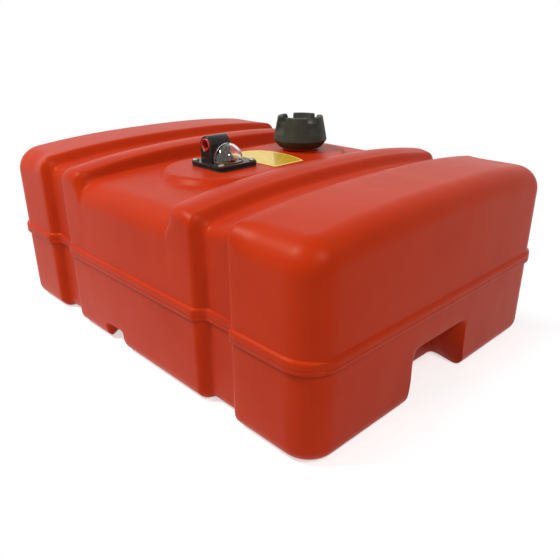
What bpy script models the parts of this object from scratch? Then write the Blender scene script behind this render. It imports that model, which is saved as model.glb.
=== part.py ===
"""Low portable fuel tank: a moulded shell with a screw cap and a gauge and outlet fitting.

The origin is the middle of the base. X runs along the tank, Y across it and Z up. Sizes are metres.
"""
import math

import bpy
from mathutils import Matrix, Vector

# Shell walls
LENGTH = 0.648
WIDTH = 0.469
WALL = 0.004
CORNER_RADIUS = 0.037
TOP_RADIUS = 0.030
BOTTOM_RADIUS = 0.018

# Belt line round the walls
BEAD = 0.0037
BEAD_LOW = 0.110
BEAD_HIGH = 0.124
BEAD_CORNER = 0.0012

# Top of the shell: heights at the long edges, and how much higher the middle is
BLOCK_HEIGHT = 0.2352
BLOCK_CROWN = 0.0138
RIDGE_DROP = 0.0052
RIDGE_HEIGHT = BLOCK_HEIGHT - RIDGE_DROP
RIDGE_CROWN = 0.0169
RIDGE_HUMP = 0.0032
RECESS_DROP = 0.0157
RECESS_HEIGHT = BLOCK_HEIGHT - RECESS_DROP
RECESS_CROWN = 0.0090
CROWN_POWER = 2.5
PATTERN_MIDDLE = -0.003
RIDGE_FOOT = 0.0965
RIDGE_CREST = 0.105

# How the ridges end at the long edges
RIDGE_TURN = 0.0160
RIDGE_TOP_RADIUS = 0.0130
RIDGE_RADIUS_RUN = 0.0140
BLOCK_RADIUS_RUN = 0.0450

# Grooves for the hold-down straps
GROOVE_PLACE = 0.1775
GROOVE_WIDTH = 0.070
GROOVE_FLOOR = 0.037
GROOVE_SIDE_DEPTH = 0.0125
GROOVE_TOP_DEPTH = 0.0135
GROOVE_BOTTOM_DEPTH = 0.006

# Raised boss under the fittings
BOSS_X = 0.002
BOSS_RISE = 0.0070
BOSS_TOP = RECESS_HEIGHT + RECESS_CROWN + BOSS_RISE
BOSS_RADIUS = 0.067
BOSS_SPREAD = 0.008
BOSS_REACH = 0.078
BOSS_ROUND = 0.0025

# Hand holds in both ends
HOLD_DEPTH = 0.050
HOLD_ROOF = 0.073
HOLD_HALF_ROOF = 0.051
HOLD_HALF_FOOT = 0.068
HOLD_MIDDLE = -0.003
HOLD_TAPER = 0.014
HOLD_LIP = 0.005
HOLD_BACK_ROUND = 0.014
HOLD_FOOT_ROUND = 0.008

# Notch low in one long side
NOTCH_DEPTH = 0.030
NOTCH_ROOF = 0.028
NOTCH_ROOF_MIDDLE = -0.049
NOTCH_FOOT_MIDDLE = -0.0555
NOTCH_HALF_ROOF = 0.017
NOTCH_HALF_FOOT = 0.0385
NOTCH_TAPER = 0.014
NOTCH_LIP = 0.003
NOTCH_BACK_ROUND = 0.006
NOTCH_FOOT_ROUND = 0.005
NOTCH_FADE = 0.045

# Clearances, and the overrun of cuts
GAP = 0.0003
RUNNING_GAP = 0.00006
OVERRUN = 0.002

# Filler neck and cap
CAP_X = -0.003
CAP_Y = 0.087
NECK_BORE = 0.0225
NECK_RADIUS = 0.0264
NECK_RISE = 0.0280
NECK_TOP = BOSS_TOP + NECK_RISE
CAP_FOOT_RISE = 0.0050
CAP_BOTTOM = BOSS_TOP + CAP_FOOT_RISE
CAP_FOOT_RADIUS = 0.0325
CAP_WIDEST_RADIUS = 0.0403
CAP_WIDEST_RISE = 0.0160
CAP_WIDEST_HEIGHT = BOSS_TOP + CAP_WIDEST_RISE
CAP_TOP_RADIUS = 0.0337
CAP_RISE = 0.0498
CAP_TOP = BOSS_TOP + CAP_RISE
CAP_ROUND = 0.0022
CAP_LOBES = 4
CAP_LOBE_TURN = math.radians(33)
CAP_LOBE_HALF_ANGLE = math.radians(29)
CAP_GAP_HALF_ANGLE = math.radians(12)
CAP_GAP_DEPTH = 0.0082
CAP_HOLLOW_RADIUS = 0.0240
CAP_HOLLOW_SPREAD = 0.0030
CAP_SCALLOP_DEPTH = 0.0042
CAP_SCALLOP_FOOT = 0.0262
CAP_SCALLOP_RUN = 0.0110
CAP_LOBE_STEPS = 14
CAP_SHELL_WALL = 0.0025
GASKET_THICKNESS = 0.0020
INSERT_DISC = 0.0030
INSERT_RISE = 0.0070
INSERT_FOOT = BOSS_TOP + INSERT_RISE

# Vent valve in the cap
VALVE_RADIUS = 0.0052
VALVE_HEIGHT = 0.0100
VALVE_FLANGE_RADIUS = 0.0068
VALVE_FLANGE = 0.0010
VALVE_WALL = 0.0010
VALVE_TOP_WALL = 0.0012
VALVE_ORIFICE = 0.0015
VALVE_OUTLET = 0.0021
VALVE_DISC_RADIUS = 0.0036
VALVE_DISC_THICKNESS = 0.0012
SPRING_WIRE = 0.00022
SPRING_RADIUS = 0.0029
SPRING_CURLS = 5
SPRING_STEPS = 8

# Gauge and outlet fitting
GAUGE_X = 0.003
GAUGE_Y = -0.067
FLANGE_HALF = 0.0330
FLANGE_CORNER = 0.0070
FLANGE_THICKNESS = 0.0048
FLANGE_GASKET = 0.0016
GAUGE_HOLE_RADIUS = 0.0210
BARREL_X = -0.006
BARREL_RISE = 0.0295
BARREL_Z = BOSS_TOP + BARREL_RISE
BARREL_RADIUS = 0.0115
BARREL_FRONT = -0.0905
BARREL_BACK = -0.0570
PORT_RADIUS = 0.0090
PORT_DEPTH = 0.0200
PASSAGE_RADIUS = 0.0040
PASSAGE_BACK_WALL = 0.0025

# Lens over the level flag
LENS_RADIUS = 0.0220
LENS_WALL = 0.0016
LENS_MIDDLE_Y = -0.0645
SEAL_THICKNESS = 0.0008
HOOD_RADIUS = 0.0170

# Screws of the flange
SCREW_PLACE = 0.0270
SCREW_HEAD_RADIUS = 0.0044
SCREW_HEAD_HEIGHT = 0.0026
SCREW_SHANK_RADIUS = 0.0019
SCREW_SHANK_LENGTH = 0.0115
SCREW_SLOT_WIDTH = 0.0011
SCREW_SLOT_DEPTH = 0.0012
SCREW_SLOT_TURN = math.radians(35)
SCREW_BOSS_RADIUS = 0.0056
SCREW_BOSS_DEPTH = 0.0070

# Level gauge under the lens
PIVOT_X = 0.010
PIVOT_Y = -0.064
PIVOT_DROP = 0.0095
PIVOT_Z = BOSS_TOP - PIVOT_DROP
PIN_RADIUS = 0.0015
EAR_GAP = 0.0060
EAR_THICKNESS = 0.0025
EAR_HALF_WIDTH = 0.0045
HUB_RADIUS = 0.0038
FLAG_THICKNESS = 0.0036
FLAG_REACH = 0.0260
FLAG_HEAD_DEPTH = 0.0080
FLAG_HEAD_HALF_ANGLE = math.radians(9)
FLAG_HEAD_STEPS = 8
FLAG_STEM_HALF = 0.0014
FLAG_SOCKET_LENGTH = 0.0120
FLAG_SOCKET_HALF = 0.0026
EMPTY_ANGLE = math.radians(58)
FULL_ANGLE = math.radians(8)
WINDOW_MARGIN = 0.0010
ARM_REACH = 0.2400
ARM_WIRE = 0.0012
ARM_BEND = 0.0060
ARM_BEND_STEPS = 4
FLOAT_RADIUS = 0.0150
FLOAT_LENGTH = 0.0440
FLOAT_ROUND = 0.0030
CLIP_RADIUS = 0.0042
CLIP_THICKNESS = 0.0010

# Pickup under the fitting
PICKUP_SHIFT = 0.0035
PICKUP_X = BARREL_X - PICKUP_SHIFT
PICKUP_Y = BARREL_BACK - PICKUP_SHIFT
PICKUP_RADIUS = 0.0040
PICKUP_FOOT = 0.0140
SPIGOT_WALL = 0.0010
SPIGOT_LENGTH = 0.0160
STRAINER_RADIUS = 0.0070
STRAINER_HEIGHT = 0.0240
STRAINER_FLOOR_GAP = 0.0050
STRAINER_WALL = 0.0012
STRAINER_SLOTS = 6
STRAINER_SLOT_WIDTH = 0.0022

# Travel plug in the outlet
PLUG_WALL = 0.0030
PLUG_LENGTH = 0.0180
PLUG_FLOOR = 0.0040
PLUG_PROUD = 0.0012
PLUG_RIM = 0.0008
O_RING_SECTION = 0.0009
O_RING_PLACE = 0.0040
O_RING_STEPS = 8

# Level label beside the fitting, as corners from the boss's middle in shares of its reach
LABEL_LENGTH = 0.1070
LABEL_WIDTH = 0.0680
LABEL_THICKNESS = 0.0004
LABEL_NEAR_X = 0.0595
LABEL_NEAR_Y = -0.0255
LABEL_SHARES = ((0, 0.02), (0, 0.80), (0.14, 0.89), (0.33, 0.97), (0.53, 1), (0.73, 0.985),
                (0.88, 0.88), (0.97, 0.70), (1, 0.50), (1, 0.02), (0.98, 0), (0.02, 0))

# Steps of the round shapes
CORNER_STEPS = 3
FILLET_STEPS = 4
ROUND_STEPS = 32
SMALL_ROUND_STEPS = 16
FLAT_ANGLE = math.radians(1)
SHARP_ANGLE = math.radians(35)

# Shares of a ramp that its rounded ends take up
GENTLE = 0.45
SOFT = 0.3
BRISK = 0.2


def clear_scene():
    """Remove whatever the file holds at the start."""
    for item in list(bpy.data.objects):
        bpy.data.objects.remove(item, do_unlink=True)


def finish(name, colour, roughness, metallic=0.0, alpha=1.0):
    """Material with one Principled shader."""
    material = bpy.data.materials.new(name)
    material.use_nodes = True
    shader = material.node_tree.nodes["Principled BSDF"]
    shader.inputs["Base Color"].default_value = (*colour, 1.0)
    shader.inputs["Roughness"].default_value = roughness
    shader.inputs["Metallic"].default_value = metallic
    shader.inputs["Alpha"].default_value = alpha
    material.diffuse_color = (*colour, alpha)
    return material


def place(name, data, material=None):
    """Object with this data, in the scene."""
    item = bpy.data.objects.new(name, data)
    bpy.context.collection.objects.link(item)
    if material:
        data.materials.append(material)
    return item


def solid(name, points, faces, material=None):
    """Object from points and faces."""
    mesh = bpy.data.meshes.new(name)
    mesh.from_pydata([tuple(p) for p in points], [], faces)
    mesh.update()
    mesh.shade_smooth()
    mesh.set_sharp_from_angle(angle=SHARP_ANGLE)
    return place(name, mesh, material)


def hide(item):
    """Make a cutter or a guide of this object."""
    item.hide_render = True
    item.display_type = "WIRE"
    return item


def combine(item, other, operation):
    """Boolean of two objects; the second one becomes a hidden guide."""
    modifier = item.modifiers.new(operation.lower(), "BOOLEAN")
    modifier.operation = operation
    modifier.solver = "EXACT"
    modifier.object = hide(other)
    return item


def turned(profile, steps, looped):
    """Points and faces of a turned shape about Z.

    The profile holds (radius, height) pairs, up its outer side. A looped profile closes on
    itself; any other one starts and ends on the axis.
    """
    points = []
    rows = []
    for radius, height in profile:
        count = steps if radius > 0 else 1
        row = []
        for k in range(count):
            angle = math.tau * k / steps
            row.append(len(points))
            points.append(Vector((radius * math.cos(angle), radius * math.sin(angle), height)))
        rows.append(row)
    faces = []
    pairs = list(zip(rows, rows[1:]))
    if looped:
        pairs.append((rows[-1], rows[0]))
    for low, high in pairs:
        for k in range(steps):
            n = (k + 1) % steps
            face = [low[k % len(low)], low[n % len(low)], high[n % len(high)], high[k % len(high)]]
            face = list(dict.fromkeys(face))
            if len(face) > 2:
                faces.append(face)
    return points, faces


def prism(outline, low, high):
    """Points and faces of an upright prism on a counter-clockwise outline."""
    count = len(outline)
    points = [Vector((x, y, low)) for x, y in outline] + [Vector((x, y, high)) for x, y in outline]
    faces = [list(range(count))[::-1], list(range(count, 2 * count))]
    for k in range(count):
        n = (k + 1) % count
        faces.append([k, n, count + n, count + k])
    return points, faces


def moved(shape, matrix):
    """The same shape elsewhere."""
    points, faces = shape
    return [matrix @ p for p in points], faces


def joined(*shapes):
    """Several separate shapes as one."""
    points = []
    faces = []
    for more_points, more_faces in shapes:
        start = len(points)
        points.extend(more_points)
        faces.extend([start + k for k in face] for face in more_faces)
    return points, faces


def rounded_outline(half_x, half_y, radius, steps):
    """Counter-clockwise outline of a rectangle with round corners about the origin."""
    outline = []
    for turn, sx, sy in ((0, 1, 1), (1, -1, 1), (2, -1, -1), (3, 1, -1)):
        for k in range(steps + 1):
            angle = math.pi / 2 * (turn + k / steps)
            outline.append((sx * (half_x - radius) + radius * math.cos(angle),
                            sy * (half_y - radius) + radius * math.sin(angle)))
    return outline


def block(x_low, x_high, y_low, y_high, z_low, z_high):
    """Plain box shape."""
    return prism(((x_low, y_low), (x_high, y_low), (x_high, y_high), (x_low, y_high)), z_low, z_high)


def rod(radius, low, high, steps=SMALL_ROUND_STEPS):
    """Plain round rod along Z."""
    return turned(((0, low), (radius, low), (radius, high), (0, high)), steps, False)


def washer(inner, outer, low, high, steps=ROUND_STEPS):
    """Plain flat ring about Z."""
    return turned(((inner, high), (inner, low), (outer, low), (outer, high)), steps, True)


def at(x, y, z=0.0):
    """Shift to a place."""
    return Matrix.Translation((x, y, z))


def along_y(x, y, z):
    """Turn an upright shape so that its height runs along +Y from this place."""
    return at(x, y, z) @ Matrix.Rotation(-math.pi / 2, 4, "X")


def ramp(share, softness=SOFT):
    """Rise from 0 to 1 over a share from 0 to 1, with rounded ends."""
    share = min(max(share, 0.0), 1.0)
    peak = 1 / (1 - softness)
    if share < softness:
        return peak * share * share / (2 * softness)
    if share > 1 - softness:
        rest = 1 - share
        return 1 - peak * rest * rest / (2 * softness)
    return peak * (share - softness / 2)


def crown(y):
    """How high the pillowed top stands at this place across, from 0 at the long edges to 1."""
    return 1 - abs(y / (WIDTH / 2 - BEAD)) ** CROWN_POWER


def groove(x):
    """Share of the strap groove's depth at this place along the tank."""
    place_along = abs(abs(x - PATTERN_MIDDLE) - GROOVE_PLACE)
    return ramp((GROOVE_WIDTH / 2 - place_along) / ((GROOVE_WIDTH - GROOVE_FLOOR) / 2), GENTLE)


def turned_back(y):
    """How far the ridges' inner flanks stand back at this place across, near the long edges."""
    run = min(max(abs(y) - (WIDTH / 2 - BEAD - RIDGE_TURN), 0.0), RIDGE_TURN)
    return RIDGE_TURN - math.sqrt(RIDGE_TURN ** 2 - run ** 2)


def top_height(x, y):
    """Height of the top without grooves and boss."""
    place_along = abs(x - PATTERN_MIDDLE)
    inwards = place_along - turned_back(y)
    rise = ramp((inwards - RIDGE_FOOT) / (RIDGE_CREST - RIDGE_FOOT), GENTLE)
    recess = RECESS_HEIGHT + RECESS_CROWN * crown(y)
    hump_share = (inwards - RIDGE_CREST) / (GROOVE_PLACE - GROOVE_WIDTH / 2 - RIDGE_CREST - turned_back(y))
    hump = RIDGE_HUMP * max(hump_share * (1 - hump_share), 0.0) * 4
    ridge = RIDGE_HEIGHT + RIDGE_CROWN * crown(y) + hump
    end_block = BLOCK_HEIGHT + BLOCK_CROWN * crown(y)
    past = ramp((place_along - GROOVE_PLACE) / GROOVE_FLOOR + 1 / 2)
    inner = recess + (ridge - recess) * rise
    return inner + (end_block - inner) * past


def shoulder_radius(x):
    """Radius of the upper edge at this place along the tank: tight over ridges and grooves."""
    place_along = abs(x - PATTERN_MIDDLE)
    tight = ramp((place_along - RIDGE_FOOT) / RIDGE_RADIUS_RUN)
    wide = ramp((place_along - GROOVE_PLACE - GROOVE_FLOOR / 2) / BLOCK_RADIUS_RUN)
    return TOP_RADIUS - (TOP_RADIUS - RIDGE_TOP_RADIUS) * tight * (1 - wide)


def rounded_path(corners, radii, steps):
    """Polyline through the corners, each rounded by its radius."""
    path = [Vector(corners[0])]
    for before, corner, after, radius in zip(corners, corners[1:], corners[2:], radii):
        corner = Vector(corner)
        back = (Vector(before) - corner).normalized()
        ahead = (Vector(after) - corner).normalized()
        for k in range(steps + 1):
            share = k / steps
            start = corner + back * radius * (1 - share)
            path.append(start.lerp(corner + ahead * radius * share, share))
    path.append(Vector(corners[-1]))
    return path


def on_path(path, share):
    """Point at a share of the path's length."""
    lengths = [(b - a).length for a, b in zip(path, path[1:])]
    left = share * sum(lengths)
    for start, end, length in zip(path, path[1:], lengths):
        if length > 0 and left <= length:
            return start.lerp(end, left / length)
        left -= length
    return path[-1]


class Recess:
    """A pocket pressed into the foot of a wall.

    It works on a wall at distance reach from the origin plane, with out measured towards the
    wall, across along it, and z up. The skin from the base to the wall is led inwards over the
    back and the roof of the pocket.
    """

    def __init__(self, reach, inset, depth, roof, middles, halves, taper, rounds, fade):
        self.wall = reach
        self.inset = inset
        self.back = reach - depth
        self.roof = roof + inset
        self.middle_roof, self.middle_foot = middles
        self.half_roof, self.half_foot = (half + inset for half in halves)
        self.taper = taper
        self.fade = fade
        self.radius = BOTTOM_RADIUS - inset
        self.flat = self.wall - self.radius - self.back
        self.arc = self.radius * math.pi / 2
        self.total = self.flat + self.arc + self.roof - inset - self.radius
        corners = ((self.back - rounds[0], inset), (self.back, inset), (self.back, self.roof),
                   (self.wall, self.roof), (self.wall, self.roof + rounds[2]))
        self.path = rounded_path(corners, rounds, FILLET_STEPS)
        self.before = rounds[0]
        self.after = rounds[2]

    def distance(self, out, z):
        """Length along the plain skin from the pocket's back."""
        if z >= self.inset + self.radius:
            return self.flat + self.arc + z - self.inset - self.radius
        over = out - (self.wall - self.radius)
        if over <= 0:
            return out - self.back
        return self.flat + self.radius * math.atan2(over, self.inset + self.radius - z)

    def lead(self, out, across, z):
        """Where a point of the plain skin goes."""
        length = self.distance(out, z)
        share = (length + self.before) / (self.total + self.before + self.after)
        inside = min(max(share, 0.0), 1.0)
        target = on_path(self.path, inside)
        depth_share = min(max(1 - (target.y - self.inset) / (self.roof - self.inset), 0.0), 1.0)
        middle = self.middle_roof + (self.middle_foot - self.middle_roof) * depth_share
        widening = (self.half_foot - self.half_roof) * depth_share
        side = across - self.middle_roof
        edge = self.half_roof
        nearness = 1 - min(max((abs(side) - edge) / self.fade, 0.0), 1.0)
        new_across = across + nearness * (middle - self.middle_roof)
        new_across += math.copysign(widening, side) * min(abs(side) / edge, 1.0) * nearness
        if not 0 < share < 1:
            return out, new_across, z
        weight = ramp((edge + self.taper / 2 - abs(side)) / self.taper, BRISK)
        return out + weight * (target.x - out), new_across, z + weight * (target.y - z)


def hand_hold(inset):
    """Pocket in an end wall."""
    reach = LENGTH / 2 - BEAD - inset
    return Recess(reach, inset, HOLD_DEPTH, HOLD_ROOF, (HOLD_MIDDLE, HOLD_MIDDLE),
                  (HOLD_HALF_ROOF, HOLD_HALF_FOOT), HOLD_TAPER,
                  (HOLD_FOOT_ROUND, HOLD_BACK_ROUND, HOLD_LIP),
                  WIDTH / 2 - BEAD - CORNER_RADIUS - HOLD_HALF_FOOT)


def side_notch(inset):
    """Notch in the long side."""
    reach = WIDTH / 2 - BEAD - inset
    return Recess(reach, inset, NOTCH_DEPTH, NOTCH_ROOF, (NOTCH_ROOF_MIDDLE, NOTCH_FOOT_MIDDLE),
                  (NOTCH_HALF_ROOF, NOTCH_HALF_FOOT), NOTCH_TAPER,
                  (NOTCH_FOOT_ROUND, NOTCH_BACK_ROUND, NOTCH_LIP), NOTCH_FADE)


def stations_along():
    """Places along the straight part of the long sides, dense where the skin turns."""
    half = LENGTH / 2 - BEAD - CORNER_RADIUS
    wall_run = (GROOVE_WIDTH - GROOVE_FLOOR) / 2
    edge = GROOVE_PLACE - GROOVE_WIDTH / 2
    pattern = [RIDGE_FOOT, (RIDGE_FOOT + RIDGE_CREST) / 2, RIDGE_CREST,
               RIDGE_FOOT + RIDGE_TURN, RIDGE_CREST + RIDGE_TURN, edge,
               edge + wall_run / 3, edge + wall_run * 2 / 3, edge + wall_run,
               GROOVE_PLACE, edge + wall_run + GROOVE_FLOOR,
               edge + GROOVE_WIDTH - wall_run * 2 / 3, edge + GROOVE_WIDTH - wall_run / 3,
               edge + GROOVE_WIDTH]
    places = [-half, half, 0.0]
    for side in (-1, 1):
        places += [PATTERN_MIDDLE + side * p for p in pattern]
        places.append(side * (LENGTH / 2 - BEAD - HOLD_DEPTH))
        places.append(side * (LENGTH / 2 - BEAD - HOLD_DEPTH - HOLD_FOOT_ROUND))
    for side in (-1, 1):
        for share in (0, 1 / 2, 1):
            places.append(NOTCH_ROOF_MIDDLE + side * (NOTCH_HALF_ROOF + NOTCH_TAPER * (share - 1 / 2)))
        places.append(NOTCH_ROOF_MIDDLE + side * (NOTCH_HALF_ROOF + NOTCH_FADE))
    return thinned(places)


def stations_across():
    """Places along the straight part of the ends."""
    half = WIDTH / 2 - BEAD - CORNER_RADIUS
    places = [-half, half, HOLD_MIDDLE]
    for side in (-1, 1):
        for share in (0, 1 / 3, 2 / 3, 1):
            places.append(HOLD_MIDDLE + side * (HOLD_HALF_ROOF + HOLD_TAPER * (share - 1 / 2)))
        places.append(HOLD_MIDDLE + side * HOLD_HALF_ROOF / 2)
        places.append(side * (half + HOLD_HALF_ROOF) / 2)
    return thinned(places)


def thinned(places):
    """Sorted places without near doubles."""
    least = BOTTOM_RADIUS / 6
    kept = []
    for value in sorted(places):
        if not kept or value - kept[-1] > least:
            kept.append(value)
    kept[-1] = max(places)
    return kept


def plan_edge(stations, across, radius, steps):
    """Points, normals along one straight side with half of each corner, and its far corners."""
    rows = []
    start, end = stations[0], stations[-1]
    for k in range(steps):
        angle = math.pi / 4 * k / steps
        rows.append((start, -math.cos(math.pi / 4 + angle), math.sin(math.pi / 4 + angle)))
    for value in stations:
        rows.append((value, 0.0, 1.0))
    for k in range(1, steps + 1):
        angle = math.pi / 4 * k / steps
        rows.append((end, math.sin(angle), math.cos(angle)))
    return [((centre + radius * nx, across + radius * ny), (nx, ny)) for centre, nx, ny in rows]


def skin(inset, with_bead):
    """Points and faces of the shell's outer skin, or of its cavity at an inset."""
    along = stations_along()
    over = stations_across()
    radius = CORNER_RADIUS - inset
    half_x = LENGTH / 2 - BEAD - CORNER_RADIUS
    half_y = WIDTH / 2 - BEAD - CORNER_RADIUS
    long_side = plan_edge(along, half_y, radius, CORNER_STEPS)
    end_side = plan_edge(over, half_x, radius, CORNER_STEPS)
    count_x, count_y = len(long_side), len(end_side)
    hold, notch = hand_hold(inset), side_notch(inset)

    ring = []
    for i in range(count_x):
        (x, y), (nx, ny) = long_side[i]
        ring.append(((i, 0), (x, -y), (nx, -ny)))
    for j in range(1, count_y):
        (y, x), (ny, nx) = end_side[j]
        ring.append(((count_x - 1, j), (x, y), (nx, ny)))
    for i in range(count_x - 2, -1, -1):
        ring.append(((i, count_y - 1),) + long_side[i])
    for j in range(count_y - 2, 0, -1):
        (y, x), (ny, nx) = end_side[j]
        ring.append(((0, j), (-x, y), (-nx, ny)))

    def pressed(x, y, z):
        """Lead a point of the plain skin into the pockets."""
        if abs(x) > half_x - HOLD_DEPTH and z < hold.roof + HOLD_LIP:
            side = math.copysign(1, x)
            out, y, z = hold.lead(side * x, y, z)
            x = side * out
        elif y < NOTCH_DEPTH - half_y and z < notch.roof + NOTCH_LIP:
            out, x, z = notch.lead(-y, x, z)
            y = -out
        return Vector((x, y, z))

    def wall_point(entry, back, z, side_share=1.0):
        """Point of the walls, set back from the outline, in the grooves too."""
        _, (x, y), (nx, ny) = entry
        shift = back + groove(x) * GROOVE_SIDE_DEPTH * side_share * abs(ny)
        return x - nx * shift, y - ny * shift, z

    def shoulder(entry):
        """Radius of the upper edge at this entry of the ring."""
        return shoulder_radius(entry[1][0]) - inset

    rows = []
    low_radius = BOTTOM_RADIUS - inset
    for k in range(FILLET_STEPS):
        angle = math.pi / 2 * k / FILLET_STEPS
        back = low_radius * (1 - math.sin(angle))
        row = []
        for entry in ring:
            x, y, z = wall_point(entry, back, inset + low_radius * (1 - math.cos(angle)), math.sin(angle))
            lift = groove(x) * GROOVE_BOTTOM_DEPTH * math.cos(angle)
            point = pressed(x, y, z)
            row.append(point + Vector((0, 0, lift)))
        rows.append(row)
    heights = [(inset + low_radius, 0.0), (NOTCH_ROOF, 0.0), (NOTCH_ROOF + NOTCH_LIP, 0.0),
               (HOLD_ROOF * 5 / 8, 0.0), (HOLD_ROOF + inset, 0.0), (HOLD_ROOF + inset + HOLD_LIP, 0.0)]
    if with_bead:
        heights += [(BEAD_LOW, 0.0), (BEAD_LOW, BEAD - BEAD_CORNER), (BEAD_LOW + BEAD_CORNER, BEAD),
                    (BEAD_HIGH - BEAD, BEAD), (BEAD_HIGH - BEAD / 2, BEAD * 3 / 4), (BEAD_HIGH, 0.0)]
    for height, proud in heights:
        rows.append([pressed(*wall_point(entry, -proud, height)) for entry in ring])
    for k in range(FILLET_STEPS + 1):
        angle = math.pi / 2 * k / FILLET_STEPS
        row = []
        for entry in ring:
            x, y, _ = wall_point(entry, shoulder(entry) * (1 - math.cos(angle)), 0.0)
            drop = shoulder(entry) * (1 - math.sin(angle)) + groove(x) * GROOVE_TOP_DEPTH
            row.append(Vector((x, y, top_height(x, y) - inset - drop)))
        rows.append(row)

    count = len(ring)
    points = [p for row in rows for p in row]
    faces = []
    for r in range(len(rows) - 1):
        for k in range(count):
            n = (k + 1) % count
            faces.append([r * count + k, r * count + n, (r + 1) * count + n, (r + 1) * count + k])
    places = {entry[0]: k for k, entry in enumerate(ring)}

    def patch(row, height_of, upwards):
        """Close the skin over one row with a grid."""
        reach = BOTTOM_RADIUS + CORNER_RADIUS
        base = row * count
        plain = {}
        for key, k in places.items():
            if upwards:
                plain[key] = wall_point(ring[k], shoulder(ring[k]), 0.0)[:2]
            else:
                plain[key] = wall_point(ring[k], low_radius, 0.0, 0.0)[:2]
        ids = {}
        for i in range(count_x):
            for j in range(count_y):
                if (i, j) in places:
                    ids[i, j] = base + places[i, j]
                    continue
                x = plain[i, 0][0]
                y = plain[0, j][1]
                for edge, sign in ((0, 1), (count_x - 1, -1)):
                    near = max(0.0, 1 - abs(x - plain[edge, 0][0]) / reach)
                    x += near * (plain[edge, j][0] - plain[edge, 0][0])
                for edge in (0, count_y - 1):
                    near = max(0.0, 1 - abs(plain[0, j][1] - plain[0, edge][1]) / reach)
                    y += near * (plain[i, edge][1] - plain[0, edge][1])
                ids[i, j] = len(points)
                points.append(height_of(x, y))
        for i in range(count_x - 1):
            for j in range(count_y - 1):
                face = [ids[i, j], ids[i + 1, j], ids[i + 1, j + 1], ids[i, j + 1]]
                faces.append(face if upwards else face[::-1])

    patch(0, lambda x, y: pressed(x, y, inset) + Vector((0, 0, groove(x) * GROOVE_BOTTOM_DEPTH)), False)
    patch(len(rows) - 1,
          lambda x, y: Vector((x, y, top_height(x, y) - inset - groove(x) * GROOVE_TOP_DEPTH)), True)
    return points, faces


def stadium(radius, reach, steps):
    """Counter-clockwise outline of a bar with round ends along Y."""
    outline = []
    for k in range(steps + 1):
        angle = math.pi * k / steps
        outline.append((radius * math.cos(angle), reach + radius * math.sin(angle)))
    for k in range(steps + 1):
        angle = math.pi * (1 + k / steps)
        outline.append((radius * math.cos(angle), -reach + radius * math.sin(angle)))
    return outline


def lofted(levels):
    """Shape from outlines of the same count, each with its height."""
    points = [Vector((x, y, z)) for outline, z in levels for x, y in outline]
    count = len(levels[0][0])
    faces = [list(range(count))[::-1], list(range(len(points) - count, len(points)))]
    for r in range(len(levels) - 1):
        for k in range(count):
            n = (k + 1) % count
            faces.append([r * count + k, r * count + n, (r + 1) * count + n, (r + 1) * count + k])
    return points, faces


def boss_shape(inset):
    """Raised boss, from inside the shell's wall up to its flat top."""
    foot = RECESS_HEIGHT - WALL / 2 - inset
    slope = BOSS_SPREAD / (BOSS_TOP - RECESS_HEIGHT - RECESS_CROWN)
    widest = BOSS_RADIUS - inset + slope * (BOSS_TOP - BOSS_ROUND - RECESS_HEIGHT) / 2
    levels = [(stadium(widest, BOSS_REACH, SMALL_ROUND_STEPS), foot),
              (stadium(BOSS_RADIUS - inset + BOSS_ROUND / 2, BOSS_REACH, SMALL_ROUND_STEPS),
               BOSS_TOP - inset - BOSS_ROUND),
              (stadium(BOSS_RADIUS - inset, BOSS_REACH, SMALL_ROUND_STEPS),
               BOSS_TOP - inset - BOSS_ROUND / 4),
              (stadium(BOSS_RADIUS - inset - BOSS_ROUND, BOSS_REACH, SMALL_ROUND_STEPS),
               BOSS_TOP - inset)]
    return moved(lofted(levels), at(BOSS_X, 0))


def screw_places():
    """Places of the flange's four screws."""
    return [(GAUGE_X + sx * SCREW_PLACE, GAUGE_Y + sy * SCREW_PLACE)
            for sx, sy in ((-1, -1), (1, -1), (1, 1), (-1, 1))]


def flange_levels():
    """Heights of the gasket's and the flange's lower and upper faces."""
    gasket_low = BOSS_TOP + GAP
    gasket_high = gasket_low + FLANGE_GASKET
    flange_low = gasket_high + GAP
    return gasket_low, gasket_high, flange_low, flange_low + FLANGE_THICKNESS


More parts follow.
